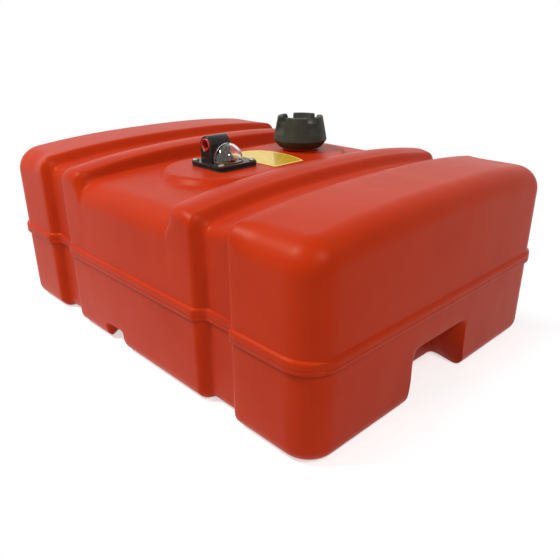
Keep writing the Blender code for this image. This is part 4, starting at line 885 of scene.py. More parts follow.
class ShellSkin:
    """The moulded skin of the tank, at an inset from the outside."""

    def __init__(self, context, inset, fine):
        scene = context.scene
        self.s, self.p, self.b = scene.tank_shell, scene.tank_pockets, scene.tank_boss
        self.inset = inset
        self.fine = fine
        self.spacing = SKIN_SPACING if fine else CAVITY_SPACING
        self.half_length = (CAD_HIGH.x - CAD_LOW.x) / 2 - self.s.bead
        self.half_width = (CAD_HIGH.y - CAD_LOW.y) / 2 - self.s.bead
        self.flat_x = self.half_length - self.s.corner
        self.flat_y = self.half_width - self.s.corner
        self.foot = self.s.foot_round - inset
        p = self.p
        self.hold = Recess(self.half_length - inset, inset, self.s.foot_round, p.hold_depth, p.hold_roof,
                           (p.hold_middle, p.hold_middle), (p.hold_half_roof, p.hold_half_foot),
                           p.hold_taper, (p.hold_foot, p.hold_back, p.hold_lip),
                           self.flat_y - p.hold_half_foot)
        self.notch = Recess(self.half_width - inset, inset, self.s.foot_round, p.notch_depth,
                            p.notch_roof, (p.notch_roof_middle, p.notch_foot_middle),
                            (p.notch_half_roof, p.notch_half_foot), p.notch_taper,
                            (p.notch_foot, p.notch_back, p.notch_lip), p.notch_fade)

    def crown(self, y):
        """How high the pillowed top stands at this place across, from 0 to 1."""
        return 1 - abs(y / self.half_width) ** self.s.crown_power

    def groove(self, x):
        """Share of the strap groove's depth at this place along the tank."""
        s = self.s
        off = abs(abs(x - s.middle) - s.groove_place)
        return ramp((s.groove_width / 2 - off) / ((s.groove_width - s.groove_floor) / 2), GROOVE_SOFTNESS)

    def shoulder(self, x):
        """Radius of the upper edge at this place along the tank: tight over ridges and grooves."""
        s = self.s
        off = abs(x - s.middle)
        tight = ramp((off - s.ridge_foot) / s.round_in)
        wide = ramp((off - s.groove_place - s.groove_floor / 2) / s.round_out)
        return s.top_round - (s.top_round - s.ridge_round) * tight * (1 - wide) - self.inset

    def top(self, x, y):
        """Height of the top, with its grooves and boss."""
        s, b = self.s, self.b
        off = abs(x - s.middle)
        crown = self.crown(y)
        run = min(max(abs(y) - (self.half_width - s.ridge_turn), 0.0), s.ridge_turn)
        back = s.ridge_turn - math.sqrt(s.ridge_turn ** 2 - run ** 2)
        inwards = off - back
        rise = ramp((inwards - s.ridge_foot) / (s.ridge_crest - s.ridge_foot), RISE_SOFTNESS)
        recess = s.recess_height + s.recess_crown * crown
        share = (inwards - s.ridge_crest) / (s.groove_place - s.groove_width / 2 - s.ridge_crest - back)
        hump = s.ridge_hump * 4 * max(share * (1 - share), 0.0)
        ridge = s.ridge_height + s.ridge_crown * crown + hump
        end_block = s.block_height + s.block_crown * crown
        past = ramp((off - s.groove_place) / s.groove_floor + 0.5)
        height = recess + (ridge - recess) * rise
        height += (end_block - height) * past
        outside = math.hypot(x - b.place, max(abs(y) - b.reach, 0.0)) - b.radius
        lifted = ramp(1 - outside / b.spread, RISE_SOFTNESS)
        height += lifted * max(b.top - height, 0.0)
        return height - self.groove(x) * s.groove_top - self.inset

    def stations(self):
        """Places along the long sides and along the ends."""
        s, p, b = self.s, self.p, self.b
        spacing = self.spacing
        groove_low = s.groove_place - s.groove_width / 2
        wall = (s.groove_width - s.groove_floor) / 2
        turned_foot = s.ridge_crest + s.ridge_turn
        half = [(b.radius + b.spread, s.ridge_foot, FLAT_STEP), (s.ridge_foot, turned_foot, RIDGE_STEP),
                (turned_foot, groove_low, FLAT_STEP), (groove_low, groove_low + wall, GROOVE_WALL_STEP),
                (groove_low + wall, groove_low + wall + s.groove_floor, GROOVE_FLOOR_STEP),
                (groove_low + wall + s.groove_floor, groove_low + s.groove_width,
                 GROOVE_WALL_STEP)]
        last = self.half_length - p.hold_depth - p.hold_foot
        right = [(a + s.middle, c + s.middle, step * spacing) for a, c, step in half]
        right += [(groove_low + s.groove_width + s.middle, last, BLOCK_STEP * spacing),
                  (last, self.flat_x, POCKET_STEP * spacing)]
        left = [(-c + s.middle, -a + s.middle, step * spacing) for a, c, step in reversed(half)]
        left = [(-self.flat_x, -last, POCKET_STEP * spacing),
                (-last, -(groove_low + s.groove_width) + s.middle, BLOCK_STEP * spacing)] + left
        middle = [(left[-1][1], right[0][0], BOSS_STEP * spacing)]
        along = spread(*(left + middle + right))
        boss = b.reach + b.radius + b.spread
        across = spread((-self.flat_y, -boss, FLAT_STEP * spacing), (-boss, boss, BOSS_STEP * spacing),
                        (boss, self.flat_y, FLAT_STEP * spacing))
        return along, across

    def side(self, stations, across, radius):
        """Points and normals along one straight side with half of each corner."""
        steps = FILLET_STEPS if self.fine else CAVITY_CORNER_STEPS
        rows = []
        for k in range(steps):
            angle = math.pi / 4 * (1 + k / steps)
            rows.append((stations[0], -math.cos(angle), math.sin(angle)))
        rows += [(value, 0.0, 1.0) for value in stations]
        for k in range(1, steps + 1):
            angle = math.pi / 4 * k / steps
            rows.append((stations[-1], math.sin(angle), math.cos(angle)))
        return [((centre + radius * nx, across + radius * ny), (nx, ny)) for centre, nx, ny in rows]

    def pressed(self, x, y, z):
        """Lead a point of the plain skin into the pockets."""
        if abs(x) > self.flat_x - self.p.hold_depth and z < self.hold.roof + self.p.hold_lip:
            sign = math.copysign(1, x)
            out, y, z = self.hold.lead(sign * x, y, z)
            x = sign * out
        elif y < self.p.notch_depth - self.flat_y and z < self.notch.roof + self.p.notch_lip:
            out, x, z = self.notch.lead(-y, x, z)
            y = -out
        return Vector((x, y, z))

    def wall(self, entry, back, side_share=1.0):
        """Plan place on the walls, set back from the outline, in the grooves too."""
        (x, y), (nx, ny) = entry
        shift = back + self.groove(x) * self.s.groove_side * side_share * abs(ny)
        return x - nx * shift, y - ny * shift

    def belt(self):
        """Heights and reaches of the belt line's section, with its parting line."""
        s = self.s
        edge, line, foot, fade = 0.0006, 0.0005, 0.0004, 0.0016
        run, flat_share, last_share = s.bead * 1.1, 0.12, 0.04
        section = [(s.bead_low - edge, 0.0), (s.bead_low, foot), (s.bead_low, s.bead - edge)]
        section += [(s.bead_low + edge * (1 - math.cos(a)), s.bead - edge * (1 - math.sin(a)))
                    for a in (math.pi / 6, math.pi / 3, math.pi / 2)]
        section += [(s.parting - line, s.bead), (s.parting, s.bead - line), (s.parting + line, s.bead)]
        section += [(s.bead_high - run, s.bead)]
        rows = 6
        for k in range(1, rows):
            angle = math.pi / 2 * k / rows
            section.append((s.bead_high - run * (1 - math.sin(angle)),
                            s.bead * (flat_share + (1 - flat_share) * math.cos(angle))))
        section += [(s.bead_high + edge, s.bead * last_share), (s.bead_high + fade, 0.0)]
        return section

    def build(self):
        """Points and faces of the closed skin."""
        s = self.s
        along, across = self.stations()
        radius = s.corner - self.inset
        long_side = self.side(along, self.flat_y, radius)
        end_side = self.side(across, self.flat_x, radius)
        count_x, count_y = len(long_side), len(end_side)
        ring = []
        for i in range(count_x):
            (x, y), (nx, ny) = long_side[i]
            ring.append(((i, 0), ((x, -y), (nx, -ny))))
        for j in range(1, count_y):
            (y, x), (ny, nx) = end_side[j]
            ring.append(((count_x - 1, j), ((x, y), (nx, ny))))
        for i in range(count_x - 2, -1, -1):
            ring.append(((i, count_y - 1), long_side[i]))
        for j in range(count_y - 2, 0, -1):
            (y, x), (ny, nx) = end_side[j]
            ring.append(((0, j), ((-x, y), (-nx, ny))))
        keys = [key for key, _ in ring]
        entries = [entry for _, entry in ring]

        rows = []
        steps = FILLET_STEPS if self.fine else CAVITY_STEPS
        for k in range(steps):
            angle = math.pi / 2 * k / steps
            height = self.inset + self.foot * (1 - math.cos(angle))
            row = []
            for entry in entries:
                x, y = self.wall(entry, self.foot * (1 - math.sin(angle)), math.sin(angle))
                lift = self.groove(x) * s.groove_foot * math.cos(angle)
                row.append(self.pressed(x, y, height) + Vector((0, 0, lift)))
            rows.append(row)
        lip = self.hold.roof + self.p.hold_lip
        levels = spread((self.inset + self.foot, lip, POCKET_STEP * self.spacing),
                        (lip, s.bead_low - BELT_ROOM, LOW_WALL_STEP * self.spacing))
        section = [(z, 0.0) for z in levels]
        if self.fine:
            section += self.belt()
        for height, proud in section:
            rows.append([self.pressed(*self.wall(entry, -proud), height) for entry in entries])
        steps = FILLET_STEPS * 3 // 2 if self.fine else CAVITY_STEPS
        for k in range(steps + 1):
            angle = math.pi / 2 * k / steps
            row = []
            for entry in entries:
                radius = self.shoulder(entry[0][0])
                x, y = self.wall(entry, radius * (1 - math.cos(angle)))
                row.append(Vector((x, y, self.top(x, y) - radius * (1 - math.sin(angle)))))
            rows.append(row)

        count = len(entries)
        points = [p for row in rows for p in row]
        pairs = [(range(r * count, (r + 1) * count), range((r + 1) * count, (r + 2) * count))
                 for r in range(len(rows) - 1)]
        faces = strips(pairs, count)
        places = {key: k for k, key in enumerate(keys)}
        low_edge = [self.wall(entry, self.foot, 0.0) for entry in entries]
        high_edge = [self.wall(entry, self.shoulder(entry[0][0])) for entry in entries]
        for row, plan, height_of, upwards in (
                (0, low_edge, lambda x, y: self.pressed(x, y, self.inset)
                 + Vector((0, 0, self.groove(x) * s.groove_foot)), False),
                (len(rows) - 1, high_edge, lambda x, y: Vector((x, y, self.top(x, y))), True)):
            self.patch(points, faces, (row * count, places, plan), (count_x, count_y), height_of, upwards)
        return points, faces

    def patch(self, points, faces, edge, counts, height_of, upwards):
        """Close the skin over one row with a grid."""
        base, places, plan = edge
        count_x, count_y = counts
        reach = self.s.foot_round + self.s.corner
        plain = {key: plan[k] for key, k in places.items()}
        ids = {}
        for i in range(count_x):
            for j in range(count_y):
                if (i, j) in places:
                    ids[i, j] = base + places[i, j]
                    continue
                x, y = plain[i, 0][0], plain[0, j][1]
                for end in (0, count_x - 1):
                    near = max(0.0, 1 - abs(x - plain[end, 0][0]) / reach)
                    x += near * (plain[end, j][0] - plain[end, 0][0])
                for end in (0, count_y - 1):
                    near = max(0.0, 1 - abs(plain[0, j][1] - plain[0, end][1]) / reach)
                    y += near * (plain[i, end][1] - plain[0, end][1])
                ids[i, j] = len(points)
                points.append(height_of(x, y))
        for i in range(count_x - 1):
            for j in range(count_y - 1):
                face = [ids[i, j], ids[i + 1, j], ids[i + 1, j + 1], ids[i, j + 1]]
                faces.append(face if upwards else face[::-1])


def new_tree(name, inputs):
    """Geometry Nodes tree with these named inputs, and their values inside it."""
    group = bpy.data.node_groups.new(name + "_tree", "GeometryNodeTree")
    group.interface.new_socket("Geometry", in_out="OUTPUT", socket_type="NodeSocketGeometry")
    for key, given in inputs.items():
        kind = "NodeSocketInt" if isinstance(given, int) else "NodeSocketFloat"
        group.interface.new_socket(key, in_out="INPUT", socket_type=kind)
    tree = Tree(group)
    source = tree.add("NodeGroupInput")
    return tree, {key: Value(tree, source.outputs[key]) for key in inputs}


def helix_object(name, inputs, slot):
    """Thread or spring on a spiral, by Geometry Nodes, as a plain mesh.

    The inputs are Radius, Climb, Turns, Section and Low, in metres and turns.
    """
    tree, size = new_tree(name, inputs)
    path = tree.value("GeometryNodeCurveSpiral", {},
                      {"Resolution": SMALL_STEPS, "Rotations": size["Turns"],
                       "Start Radius": size["Radius"], "End Radius": size["Radius"],
                       "Height": size["Turns"] * size["Climb"]}, 0)
    section = tree.value("GeometryNodeCurvePrimitiveCircle", {}, {"Resolution": THREAD_SIDES,
                                                                  "Radius": size["Section"]}, 0)
    tube = tree.value("GeometryNodeCurveToMesh", {},
                      {"Curve": path, "Profile Curve": section, "Fill Caps": True}, 0)
    lift = tree.value("ShaderNodeCombineXYZ", {}, {"Z": size["Low"]}, 0)
    placed = tree.value("GeometryNodeTransform", {}, {"Geometry": tube, "Translation": lift}, 0)
    return from_tree(name, tree, placed, inputs, slot)


def from_tree(name, tree, geometry, inputs, slot):
    """End the tree with real instances and a material, and turn its result into a mesh object."""
    real = tree.value("GeometryNodeRealizeInstances", {}, {"Geometry": geometry}, 0)
    dressed = tree.value("GeometryNodeSetMaterial", {}, {"Geometry": real, "Material": finish_for(slot)}, 0)
    tree.add("NodeGroupOutput", {}, {"Geometry": dressed})
    holder = mesh_object(name, (), ())
    modifier = holder.modifiers.new("nodes", "NODES")
    modifier.node_group = tree.tree
    for item in tree.tree.interface.items_tree:
        if item.in_out == "INPUT":
            modifier[item.identifier] = inputs[item.name]
    applied(holder)
    shade(holder.data)
    return holder


def wire_object(name, corners, inputs, slot):
    """Round wire along a bent line, by Geometry Nodes. The inputs are Radius and Bend, in metres."""
    tree, size = new_tree(name, inputs)
    line = bpy.data.meshes.new(name + "_line")
    line.from_pydata([tuple(p) for p in corners], [(k, k + 1) for k in range(len(corners) - 1)], [])
    guide = bpy.data.objects.new(name + "_line", line)
    source = tree.value("GeometryNodeObjectInfo", {}, {"Object": guide}, "Geometry")
    path = tree.value("GeometryNodeMeshToCurve", {}, {"Mesh": source}, 0)
    path = tree.value("GeometryNodeFilletCurve", {"mode": "POLY"},
                      {"Curve": path, "Radius": size["Bend"], "Count": FILLET_STEPS}, 0)
    section = tree.value("GeometryNodeCurvePrimitiveCircle", {}, {"Resolution": SMALL_STEPS // 2,
                                                                  "Radius": size["Radius"]}, 0)
    tube = tree.value("GeometryNodeCurveToMesh", {},
                      {"Curve": path, "Profile Curve": section, "Fill Caps": True}, 0)
    item = from_tree(name, tree, tube, inputs, slot)
    bpy.data.objects.remove(guide, do_unlink=True)
    return item


def repeated(name, master, inputs, slot, ring):
    """Turned copies of a master object, by Geometry Nodes; the master is removed.

    A ring of Count copies has the radius Spread and turns each by its place. Otherwise four
    copies stand at the corners of a square with the half side Spread, turned by Turn in order.
    """
    tree, size = new_tree(name, inputs)
    if ring:
        layout = tree.value("GeometryNodeMeshCircle", {}, {"Vertices": size["Count"],
                                                           "Radius": size["Spread"]}, 0)
        step = math.tau / size["Count"]
    else:
        side = size["Spread"] * 2
        layout = tree.value("GeometryNodeMeshGrid", {}, {"Size X": side, "Size Y": side,
                                                         "Vertices X": 2, "Vertices Y": 2}, 0)
        step = size["Turn"]
    source = tree.value("GeometryNodeObjectInfo", {}, {"Object": master, "As Instance": True}, "Geometry")
    index = tree.value("GeometryNodeInputIndex", {}, {}, 0)
    facing = tree.value("ShaderNodeCombineXYZ", {}, {"Z": (index + (0 if ring else 1)) * step}, 0)
    copies = tree.value("GeometryNodeInstanceOnPoints", {},
                        {"Points": layout, "Instance": source, "Rotation": facing}, 0)
    item = from_tree(name, tree, copies, inputs, slot)
    bpy.data.objects.remove(master, do_unlink=True)
    return item


def softened(node, body, slot, width):
    """Copy of a CAD node with rounded edges, which stands for it."""
    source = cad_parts[node]
    item = bpy.data.objects.new(node + "_soft", source.data.copy())
    bpy.context.scene.collection.objects.link(item)
    item.data.materials.clear()
    item.data.materials.append(finish_for(slot))
    rounded(item, width, 2)
    return finished(item, body, slot, node)


def washer(inner, outer, low, high, rounding, steps=ROUND_STEPS):
    """Points and faces of a flat ring about Z with a rounded section."""
    outline = rounded_plan((outer - inner) / 2, (high - low) / 2, rounding, 4)
    middle, height = (inner + outer) / 2, (low + high) / 2
    return turned([(middle + r, height + z) for r, z in outline], steps, True)


class TANK_OT_shell(Operator):
    """Build the moulded shell with its boss, filler neck and thread"""

    bl_idname = "fuel_tank.shell"
    bl_label = "Shell"

    def execute(self, context):
        s, b, f = context.scene.tank_shell, context.scene.tank_boss, context.scene.tank_fitting
        shell = mesh_object("tank_shell_moulding", *ShellSkin(context, 0.0, True).build())
        core = b.neck_radius - b.thread_depth
        low = b.top - s.wall / 2
        profile = [(0, low), (core + NECK_FOOT, low)]
        profile += [(core + out, b.top + rise) for out, rise in NECK_FILLET]
        profile += [(core + out, b.neck_top + rise) for out, rise in NECK_RIM]
        neck = turned(profile + [(0, b.neck_top)])
        neck = mesh_object("neck", *moved(neck, at(b.neck_x, b.neck_y)))
        thread = helix_object("neck_thread", {
            "Radius": core - b.thread_depth * 0.2, "Climb": b.thread_pitch, "Turns": b.thread_turns,
            "Section": b.thread_depth * 1.15,
            "Low": b.neck_top - THREAD_RUN_OUT - b.thread_pitch * b.thread_turns}, "shell")
        thread.data.transform(at(b.neck_x, b.neck_y))
        combine(neck, thread, "UNION")
        combine(shell, neck, "UNION")

        cavity = mesh_object("cavity", *ShellSkin(context, s.wall, False).build())
        cut_low = b.top - s.wall - CUT_UNDER_WALL
        bore = mesh_object("bore", *moved(rod(b.neck_bore, cut_low, b.neck_top + OVERRUN, ROUND_STEPS),
                                          at(b.neck_x, b.neck_y)))
        hole = mesh_object("hole", *moved(rod(f.hole, cut_low, b.top + OVERRUN), at(f.place_x, f.place_y)))
        combine(cavity, bore, "UNION")
        combine(cavity, hole, "UNION")
        combine(shell, cavity, "DIFFERENCE")
        shell.data.materials.clear()
        shell.data.materials.append(finish_for("shell"))
        for polygon in shell.data.polygons:
            polygon.material_index = 0
        shade(shell.data)
        finished(shell, "tank", "shell", "tank_shell")
        return {"FINISHED"}


class TANK_OT_cap(Operator):
    """Build the cap shell with its lobes, its threaded insert and its sealing ring"""

    bl_idname = "fuel_tank.cap"
    bl_label = "Cap"

    def execute(self, context):
        c, b = context.scene.tank_cap, context.scene.tank_boss
        steps = c.lobes * CAP_LOBE_STEPS
        pitch = math.tau / c.lobes
        gasket_low, gasket_high = (corner.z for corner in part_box("filler_cap_gasket"))
        insert_low, insert_high = (corner.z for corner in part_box("filler_cap_insert"))
        ceiling_edge, foot_edge, foot_flat, foot_rise, waist = 0.001, 0.0005, 0.0008, 0.0004, 0.0012
        inner_top = insert_high + 4 * GAP + ceiling_edge
        inner = c.foot_radius - c.shell_wall

        def gap_share(angle):
            off = (angle - c.lobe_turn + pitch / 2) % pitch - pitch / 2
            return ramp((abs(off) - c.lobe_half) / (pitch / 2 - c.gap_half - c.lobe_half), RISE_SOFTNESS)

        def top(radius, angle):
            hollow = ramp((c.hollow_radius + c.hollow_spread - radius) / c.hollow_spread, RISE_SOFTNESS)
            return c.top - c.gap_depth * max(gap_share(angle), hollow)

        def wall_radius(height):
            share = max((height - c.widest_height) / (c.top - c.widest_height), 0.0)
            return c.widest_radius + (c.top_radius - c.widest_radius) * share

        def side_point(angle, share):
            level_top = top(c.top_radius, angle) - c.rounding
            height = c.widest_height + (level_top - c.widest_height) * share
            gap = gap_share(angle)
            rise = ramp((height - c.top + c.scallop_foot) / c.scallop_run, RISE_SOFTNESS)
            flute = c.flute_depth * (1 - gap) * (1 + math.cos(c.flutes * angle)) * math.sin(math.pi * share)
            return wall_radius(height) - c.scallop_depth * rise * gap - flute, height

        angles = [math.tau * k / steps for k in range(steps)]
        rows = [[(0.0, inner_top)]]
        rows.append([(inner - ceiling_edge, inner_top)] * steps)
        rows.append([(inner, inner_top - ceiling_edge)] * steps)
        rows.append([(inner, c.bottom + foot_edge)] * steps)
        rows.append([(inner + foot_edge, c.bottom)] * steps)
        rows.append([(c.foot_radius - foot_flat, c.bottom)] * steps)
        rows.append([(c.foot_radius, c.bottom + foot_rise)] * steps)
        for k in range(1, CAP_FOOT_ROWS):
            share = k / CAP_FOOT_ROWS
            height = c.bottom + foot_rise + (c.widest_height - c.bottom - waist) * share ** 1.1
            rows.append([(c.foot_radius + (c.widest_radius - c.foot_radius) * share, height)] * steps)
        for k in range(CAP_SIDE_ROWS + 1):
            rows.append([side_point(angle, k / CAP_SIDE_ROWS) for angle in angles])
        for k in range(1, CAP_EDGE_ROWS + 1):
            tilt = math.pi / 2 * k / CAP_EDGE_ROWS
            row = []
            for angle in angles:
                radius, height = side_point(angle, 1.0)
                row.append((radius - c.rounding * (1 - math.cos(tilt)), height + c.rounding * math.sin(tilt)))
            rows.append(row)
        outer = c.top_radius - c.rounding
        for radius in spread((0.0, outer, foot_flat))[::-1][1:-1]:
            row = []
            for angle in angles:
                shift = c.scallop_depth * gap_share(angle) * min(radius / outer, 1.0) ** 4
                row.append((radius - shift, top(radius, angle)))
            rows.append(row)
        rows.append([(0.0, top(0.0, 0.0))])

        points, ids = [], []
        for row in rows:
            ids.append(range(len(points), len(points) + len(row)))
            for (radius, height), angle in zip(row, angles):
                points.append(Vector((radius * math.cos(angle), radius * math.sin(angle), height)))
        shape = (points, strips(list(zip(ids, ids[1:])), steps))
        place = at(b.neck_x, b.neck_y)
        shell = mesh_object("filler_cap_moulding", *moved(shape, place), ("cap",))
        finished(shell, "filler_cap", "cap", "filler_cap_shell")

        bore = b.neck_radius + GAP
        valve_radius, gasket_edge, valve_edge = 0.0052, 0.0006, 0.00015
        hole = valve_radius + GAP
        rim = inner - GAP
        ceiling = gasket_high + GAP
        insert = mesh_object("filler_cap_insert_moulding", *turned(
            ((hole, insert_high), (hole, ceiling), (bore, ceiling), (bore, insert_low), (rim, insert_low),
             (rim, insert_high)), ROUND_STEPS, True), ("cap_insert",))
        rounded(insert, GAP)
        thread = helix_object("insert_thread", {
            "Radius": bore, "Climb": b.thread_pitch, "Turns": b.thread_turns,
            "Section": b.thread_depth * 0.8, "Low": insert_low + b.thread_pitch / 2}, "cap_insert")
        combine(insert, thread, "DIFFERENCE")
        shade(insert.data)
        insert.data.transform(place)
        finished(insert, "filler_cap", "cap_insert", "filler_cap_insert")

        ring = washer(b.neck_bore + GAP, b.neck_radius - GAP, gasket_low, gasket_high, gasket_edge)
        gasket = mesh_object("filler_cap_gasket_ring", *moved(ring, place), ("rubber",))
        finished(gasket, "cap_seal", "rubber", "filler_cap_gasket")
        softened("vent_valve_seat", "filler_cap", "brass", valve_edge)
        softened("vent_valve_disc", "vent_valve", "rubber", valve_edge)
        return {"FINISHED"}


class TANK_OT_fitting(Operator):
    """Build the gauge and outlet housing with rounded moulded edges"""

    bl_idname = "fuel_tank.fitting"
    bl_label = "Fitting"

    def execute(self, context):
        f, g = context.scene.tank_fitting, context.scene.tank_gauge
        gasket_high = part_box("gauge_gasket")[1].z
        low = gasket_high + GAP
        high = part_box("lens_seal")[0].z - GAP
        plate = mesh_object("gauge_housing_moulding",
                            *moved(prism(rounded_plan(f.half, f.half, f.corner), low, high),
                                   at(f.place_x, f.place_y)), ("fitting",))
        rounded(plate, f.edge)
        sunk, chamfer, room, spare = 0.0024, 0.0008, 0.001, math.radians(9)
        outline = [(f.barrel_x - f.barrel_radius, high - sunk), (f.barrel_x + f.barrel_radius, high - sunk)]
        for k in range(SMALL_STEPS // 2 + 1):
            angle = math.tau * k / SMALL_STEPS
            outline.append((f.barrel_x + f.barrel_radius * math.cos(angle),
                            f.barrel_z + f.barrel_radius * math.sin(angle)))
        upright = prism([(x, -z) for x, z in outline][::-1], f.barrel_front, f.barrel_back)
        barrel = mesh_object("barrel", *moved(upright, Matrix.Rotation(-math.pi / 2, 4, "X")), ("fitting",))
        rounded(barrel, f.edge * BARREL_EDGE_SHARE)
        combine(plate, barrel, "UNION")
        side = g.flag_thickness / 2 + GAP
        face = f.barrel_x + f.barrel_radius
        profile = [(f.hood_radius * math.cos(tilt), f.hood_radius * math.sin(tilt))
                   for tilt in (math.pi * (k / SMALL_STEPS - 1 / 2) for k in range(1, SMALL_STEPS))]
        profile = [(0, -f.hood_radius)] + profile + [(0, f.hood_radius)]
        hood = mesh_object("hood", *moved(turned(profile), at(face, f.lens_y, high)), ("fitting",))
        quarter = mesh_object("room", *block(face - OVERRUN, face + f.lens_radius, f.lens_y - f.lens_radius,
                                             g.pivot_y - side - GAP, high - OVERRUN, high + f.lens_radius))
        combine(hood, quarter, "INTERSECT")
        rounded(hood, f.edge * HOOD_EDGE_SHARE)
        combine(plate, hood, "UNION")
        ears = [block(g.pivot_x - f.ear_half, g.pivot_x + f.ear_half, middle - f.ear / 2, middle + f.ear / 2,
                      g.pivot_z - f.ear_half, low + OVERRUN)
                for middle in (g.pivot_y + (f.ear_gap + f.ear) / 2, g.pivot_y - (f.ear_gap + f.ear) / 2)]
        tube_low, tube_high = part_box("pickup_tube")
        tube = (tube_low + tube_high) / 2
        ears.append(moved(rod(f.spigot, low - f.spigot_length, low + OVERRUN), at(tube.x, tube.y)))
        ears = rounded(mesh_object("ears", *joined(*ears), ("fitting",)), GAP)
        combine(plate, ears, "UNION")
        bores = [moved(rod(g.pin + GAP / 4, -f.ear_gap, f.ear_gap), along_y(g.pivot_x, g.pivot_y, g.pivot_z)),
                 moved(rod(f.spigot - g.tube_wall, low - f.spigot_length - OVERRUN, high),
                       at(tube.x, tube.y))]
        bores += [moved(rod(f.screw_shank + GAP, low - OVERRUN, high + OVERRUN),
                        at(f.place_x + sx * f.screw_place, f.place_y + sy * f.screw_place))
                  for sx, sy in QUARTERS]
        combine(plate, mesh_object("bores", *joined(*bores)), "DIFFERENCE")
        mouth = f.port_radius + chamfer
        port = turned(((0, -OVERRUN), (mouth, -OVERRUN), (mouth, 0), (f.port_radius, chamfer),
                       (f.port_radius, f.port_depth), (0, f.port_depth)))
        cutter = mesh_object("port", *moved(port, along_y(f.barrel_x, f.barrel_front, f.barrel_z)))
        combine(plate, cutter, "DIFFERENCE")
        swing = (g.empty - g.full) / 2 + spare
        half = (g.flag_reach + room) * math.sin(swing) + room
        window = mesh_object("window", *block(g.pivot_x - half, g.pivot_x + half, g.pivot_y - side,
                                              g.pivot_y + side, low - OVERRUN,
                                              g.pivot_z + g.flag_reach + room))
        combine(plate, window, "DIFFERENCE")
        plate.data.materials.clear()
        plate.data.materials.append(finish_for("fitting"))
        plate.data.materials.append(finish_for("hood"))
        # Faces round the hood, inside its radius, take the dull finish whose brown streaks are painted
        # reflection.
        corner = Vector((face, f.lens_y, high))
        for polygon in plate.data.polygons:
            off = polygon.center - corner
            polygon.material_index = int(min(off.x, off.z) > GAP / 2 and off.length < f.hood_radius + GAP)
        shade(plate.data)
        finished(plate, "tank", "fitting", "gauge_housing")
        softened("gauge_gasket", "tank", "rubber", GAP)
        # The lens seal takes amber as a painted glint along the lens's foot.
        softened("lens_seal", "tank", "seal", GAP / 2)
        return {"FINISHED"}


class TANK_OT_screws(Operator):
    """Build the four slotted screws of the flange"""

    bl_idname = "fuel_tank.screws"
    bl_label = "Screws"

    def execute(self, context):
        f = context.scene.tank_fitting
        low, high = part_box("flange_screw_1")
        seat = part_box("lens_seal")[0].z
        plain, run_out, flank = 0.0006, 0.0010, 0.0003
        tip_share, root_share, crown_share, rim_share = 0.7, 0.86, 0.45, 0.35
        dome = [(0, low.z), (f.screw_shank * tip_share, low.z), (f.screw_shank, low.z + plain)]
        turns = 14
        for k in range(turns):
            start = low.z + run_out + (seat - low.z - 2 * run_out) * k / turns
            dome += [(f.screw_shank, start), (f.screw_shank * root_share, start + flank)]
        dome += [(f.screw_shank, seat - plain), (f.screw_shank, seat), (f.screw_head, seat)]
        for k in range(FILLET_STEPS + 1):
            tilt = math.pi / 2 * k / FILLET_STEPS
            reach = crown_share + (1 - crown_share) * math.cos(tilt)
            rise = rim_share + (1 - rim_share) * math.sin(tilt)
            dome.append((f.screw_head * reach if k else f.screw_head, seat + (high.z - seat) * rise))
        dome.append((0, high.z))
        screw = mesh_object("screw", *turned(dome, SMALL_STEPS), ("screw",))
        slot = block(-f.screw_head - OVERRUN, f.screw_head + OVERRUN, -f.screw_slot / 2, f.screw_slot / 2,
                     high.z - f.screw_slot, high.z + OVERRUN)
        combine(screw, mesh_object("slot", *slot), "DIFFERENCE")
        screws = repeated("flange_screw_set", screw, {"Spread": f.screw_place, "Turn": f.screw_turn},
                          "screw", False)
        screws.data.transform(at(f.place_x, f.place_y))
        finished(screws, "tank", "steel", *(f"flange_screw_{number}" for number in range(1, 5)))
        return {"FINISHED"}


class TANK_OT_gauge(Operator):
    """Build the level flag, its pin, the wire arm, the float and its clip"""

    bl_idname = "fuel_tank.gauge"
    bl_label = "Level gauge"

    def execute(self, context):
        g = context.scene.tank_gauge
        softened("level_flag", "level_arm", "flag", GAP)
        softened("pivot_pin", "tank", "steel", GAP)
        softened("float_clip", "level_arm", "steel", GAP)
        pivot = Vector((g.pivot_x, g.pivot_y, g.pivot_z))
        direction = Vector((math.cos(g.empty), 0, -math.sin(g.empty)))
        corner = pivot + direction * g.arm_reach
        end = Vector((corner.x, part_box("float_arm")[1].y, corner.z))
        wire = wire_object("float_arm_wire", (pivot + direction * (g.hub + g.arm_wire), corner, end),
                           {"Radius": g.arm_wire, "Bend": g.arm_bend}, "steel")
        finished(wire, "level_arm", "steel", "float_arm")
        low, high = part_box("float")
        middle = (low + high) / 2
        radius, span = (high.x - low.x) / 2, high.y - low.y
        body = washer(g.arm_wire + GAP, radius, 0.0, span, g.float_round)
        foam = mesh_object("float_body", *moved(body, along_y(middle.x, low.y, middle.z)), ("foam",))
        finished(foam, "level_arm", "foam", "float")
        return {"FINISHED"}


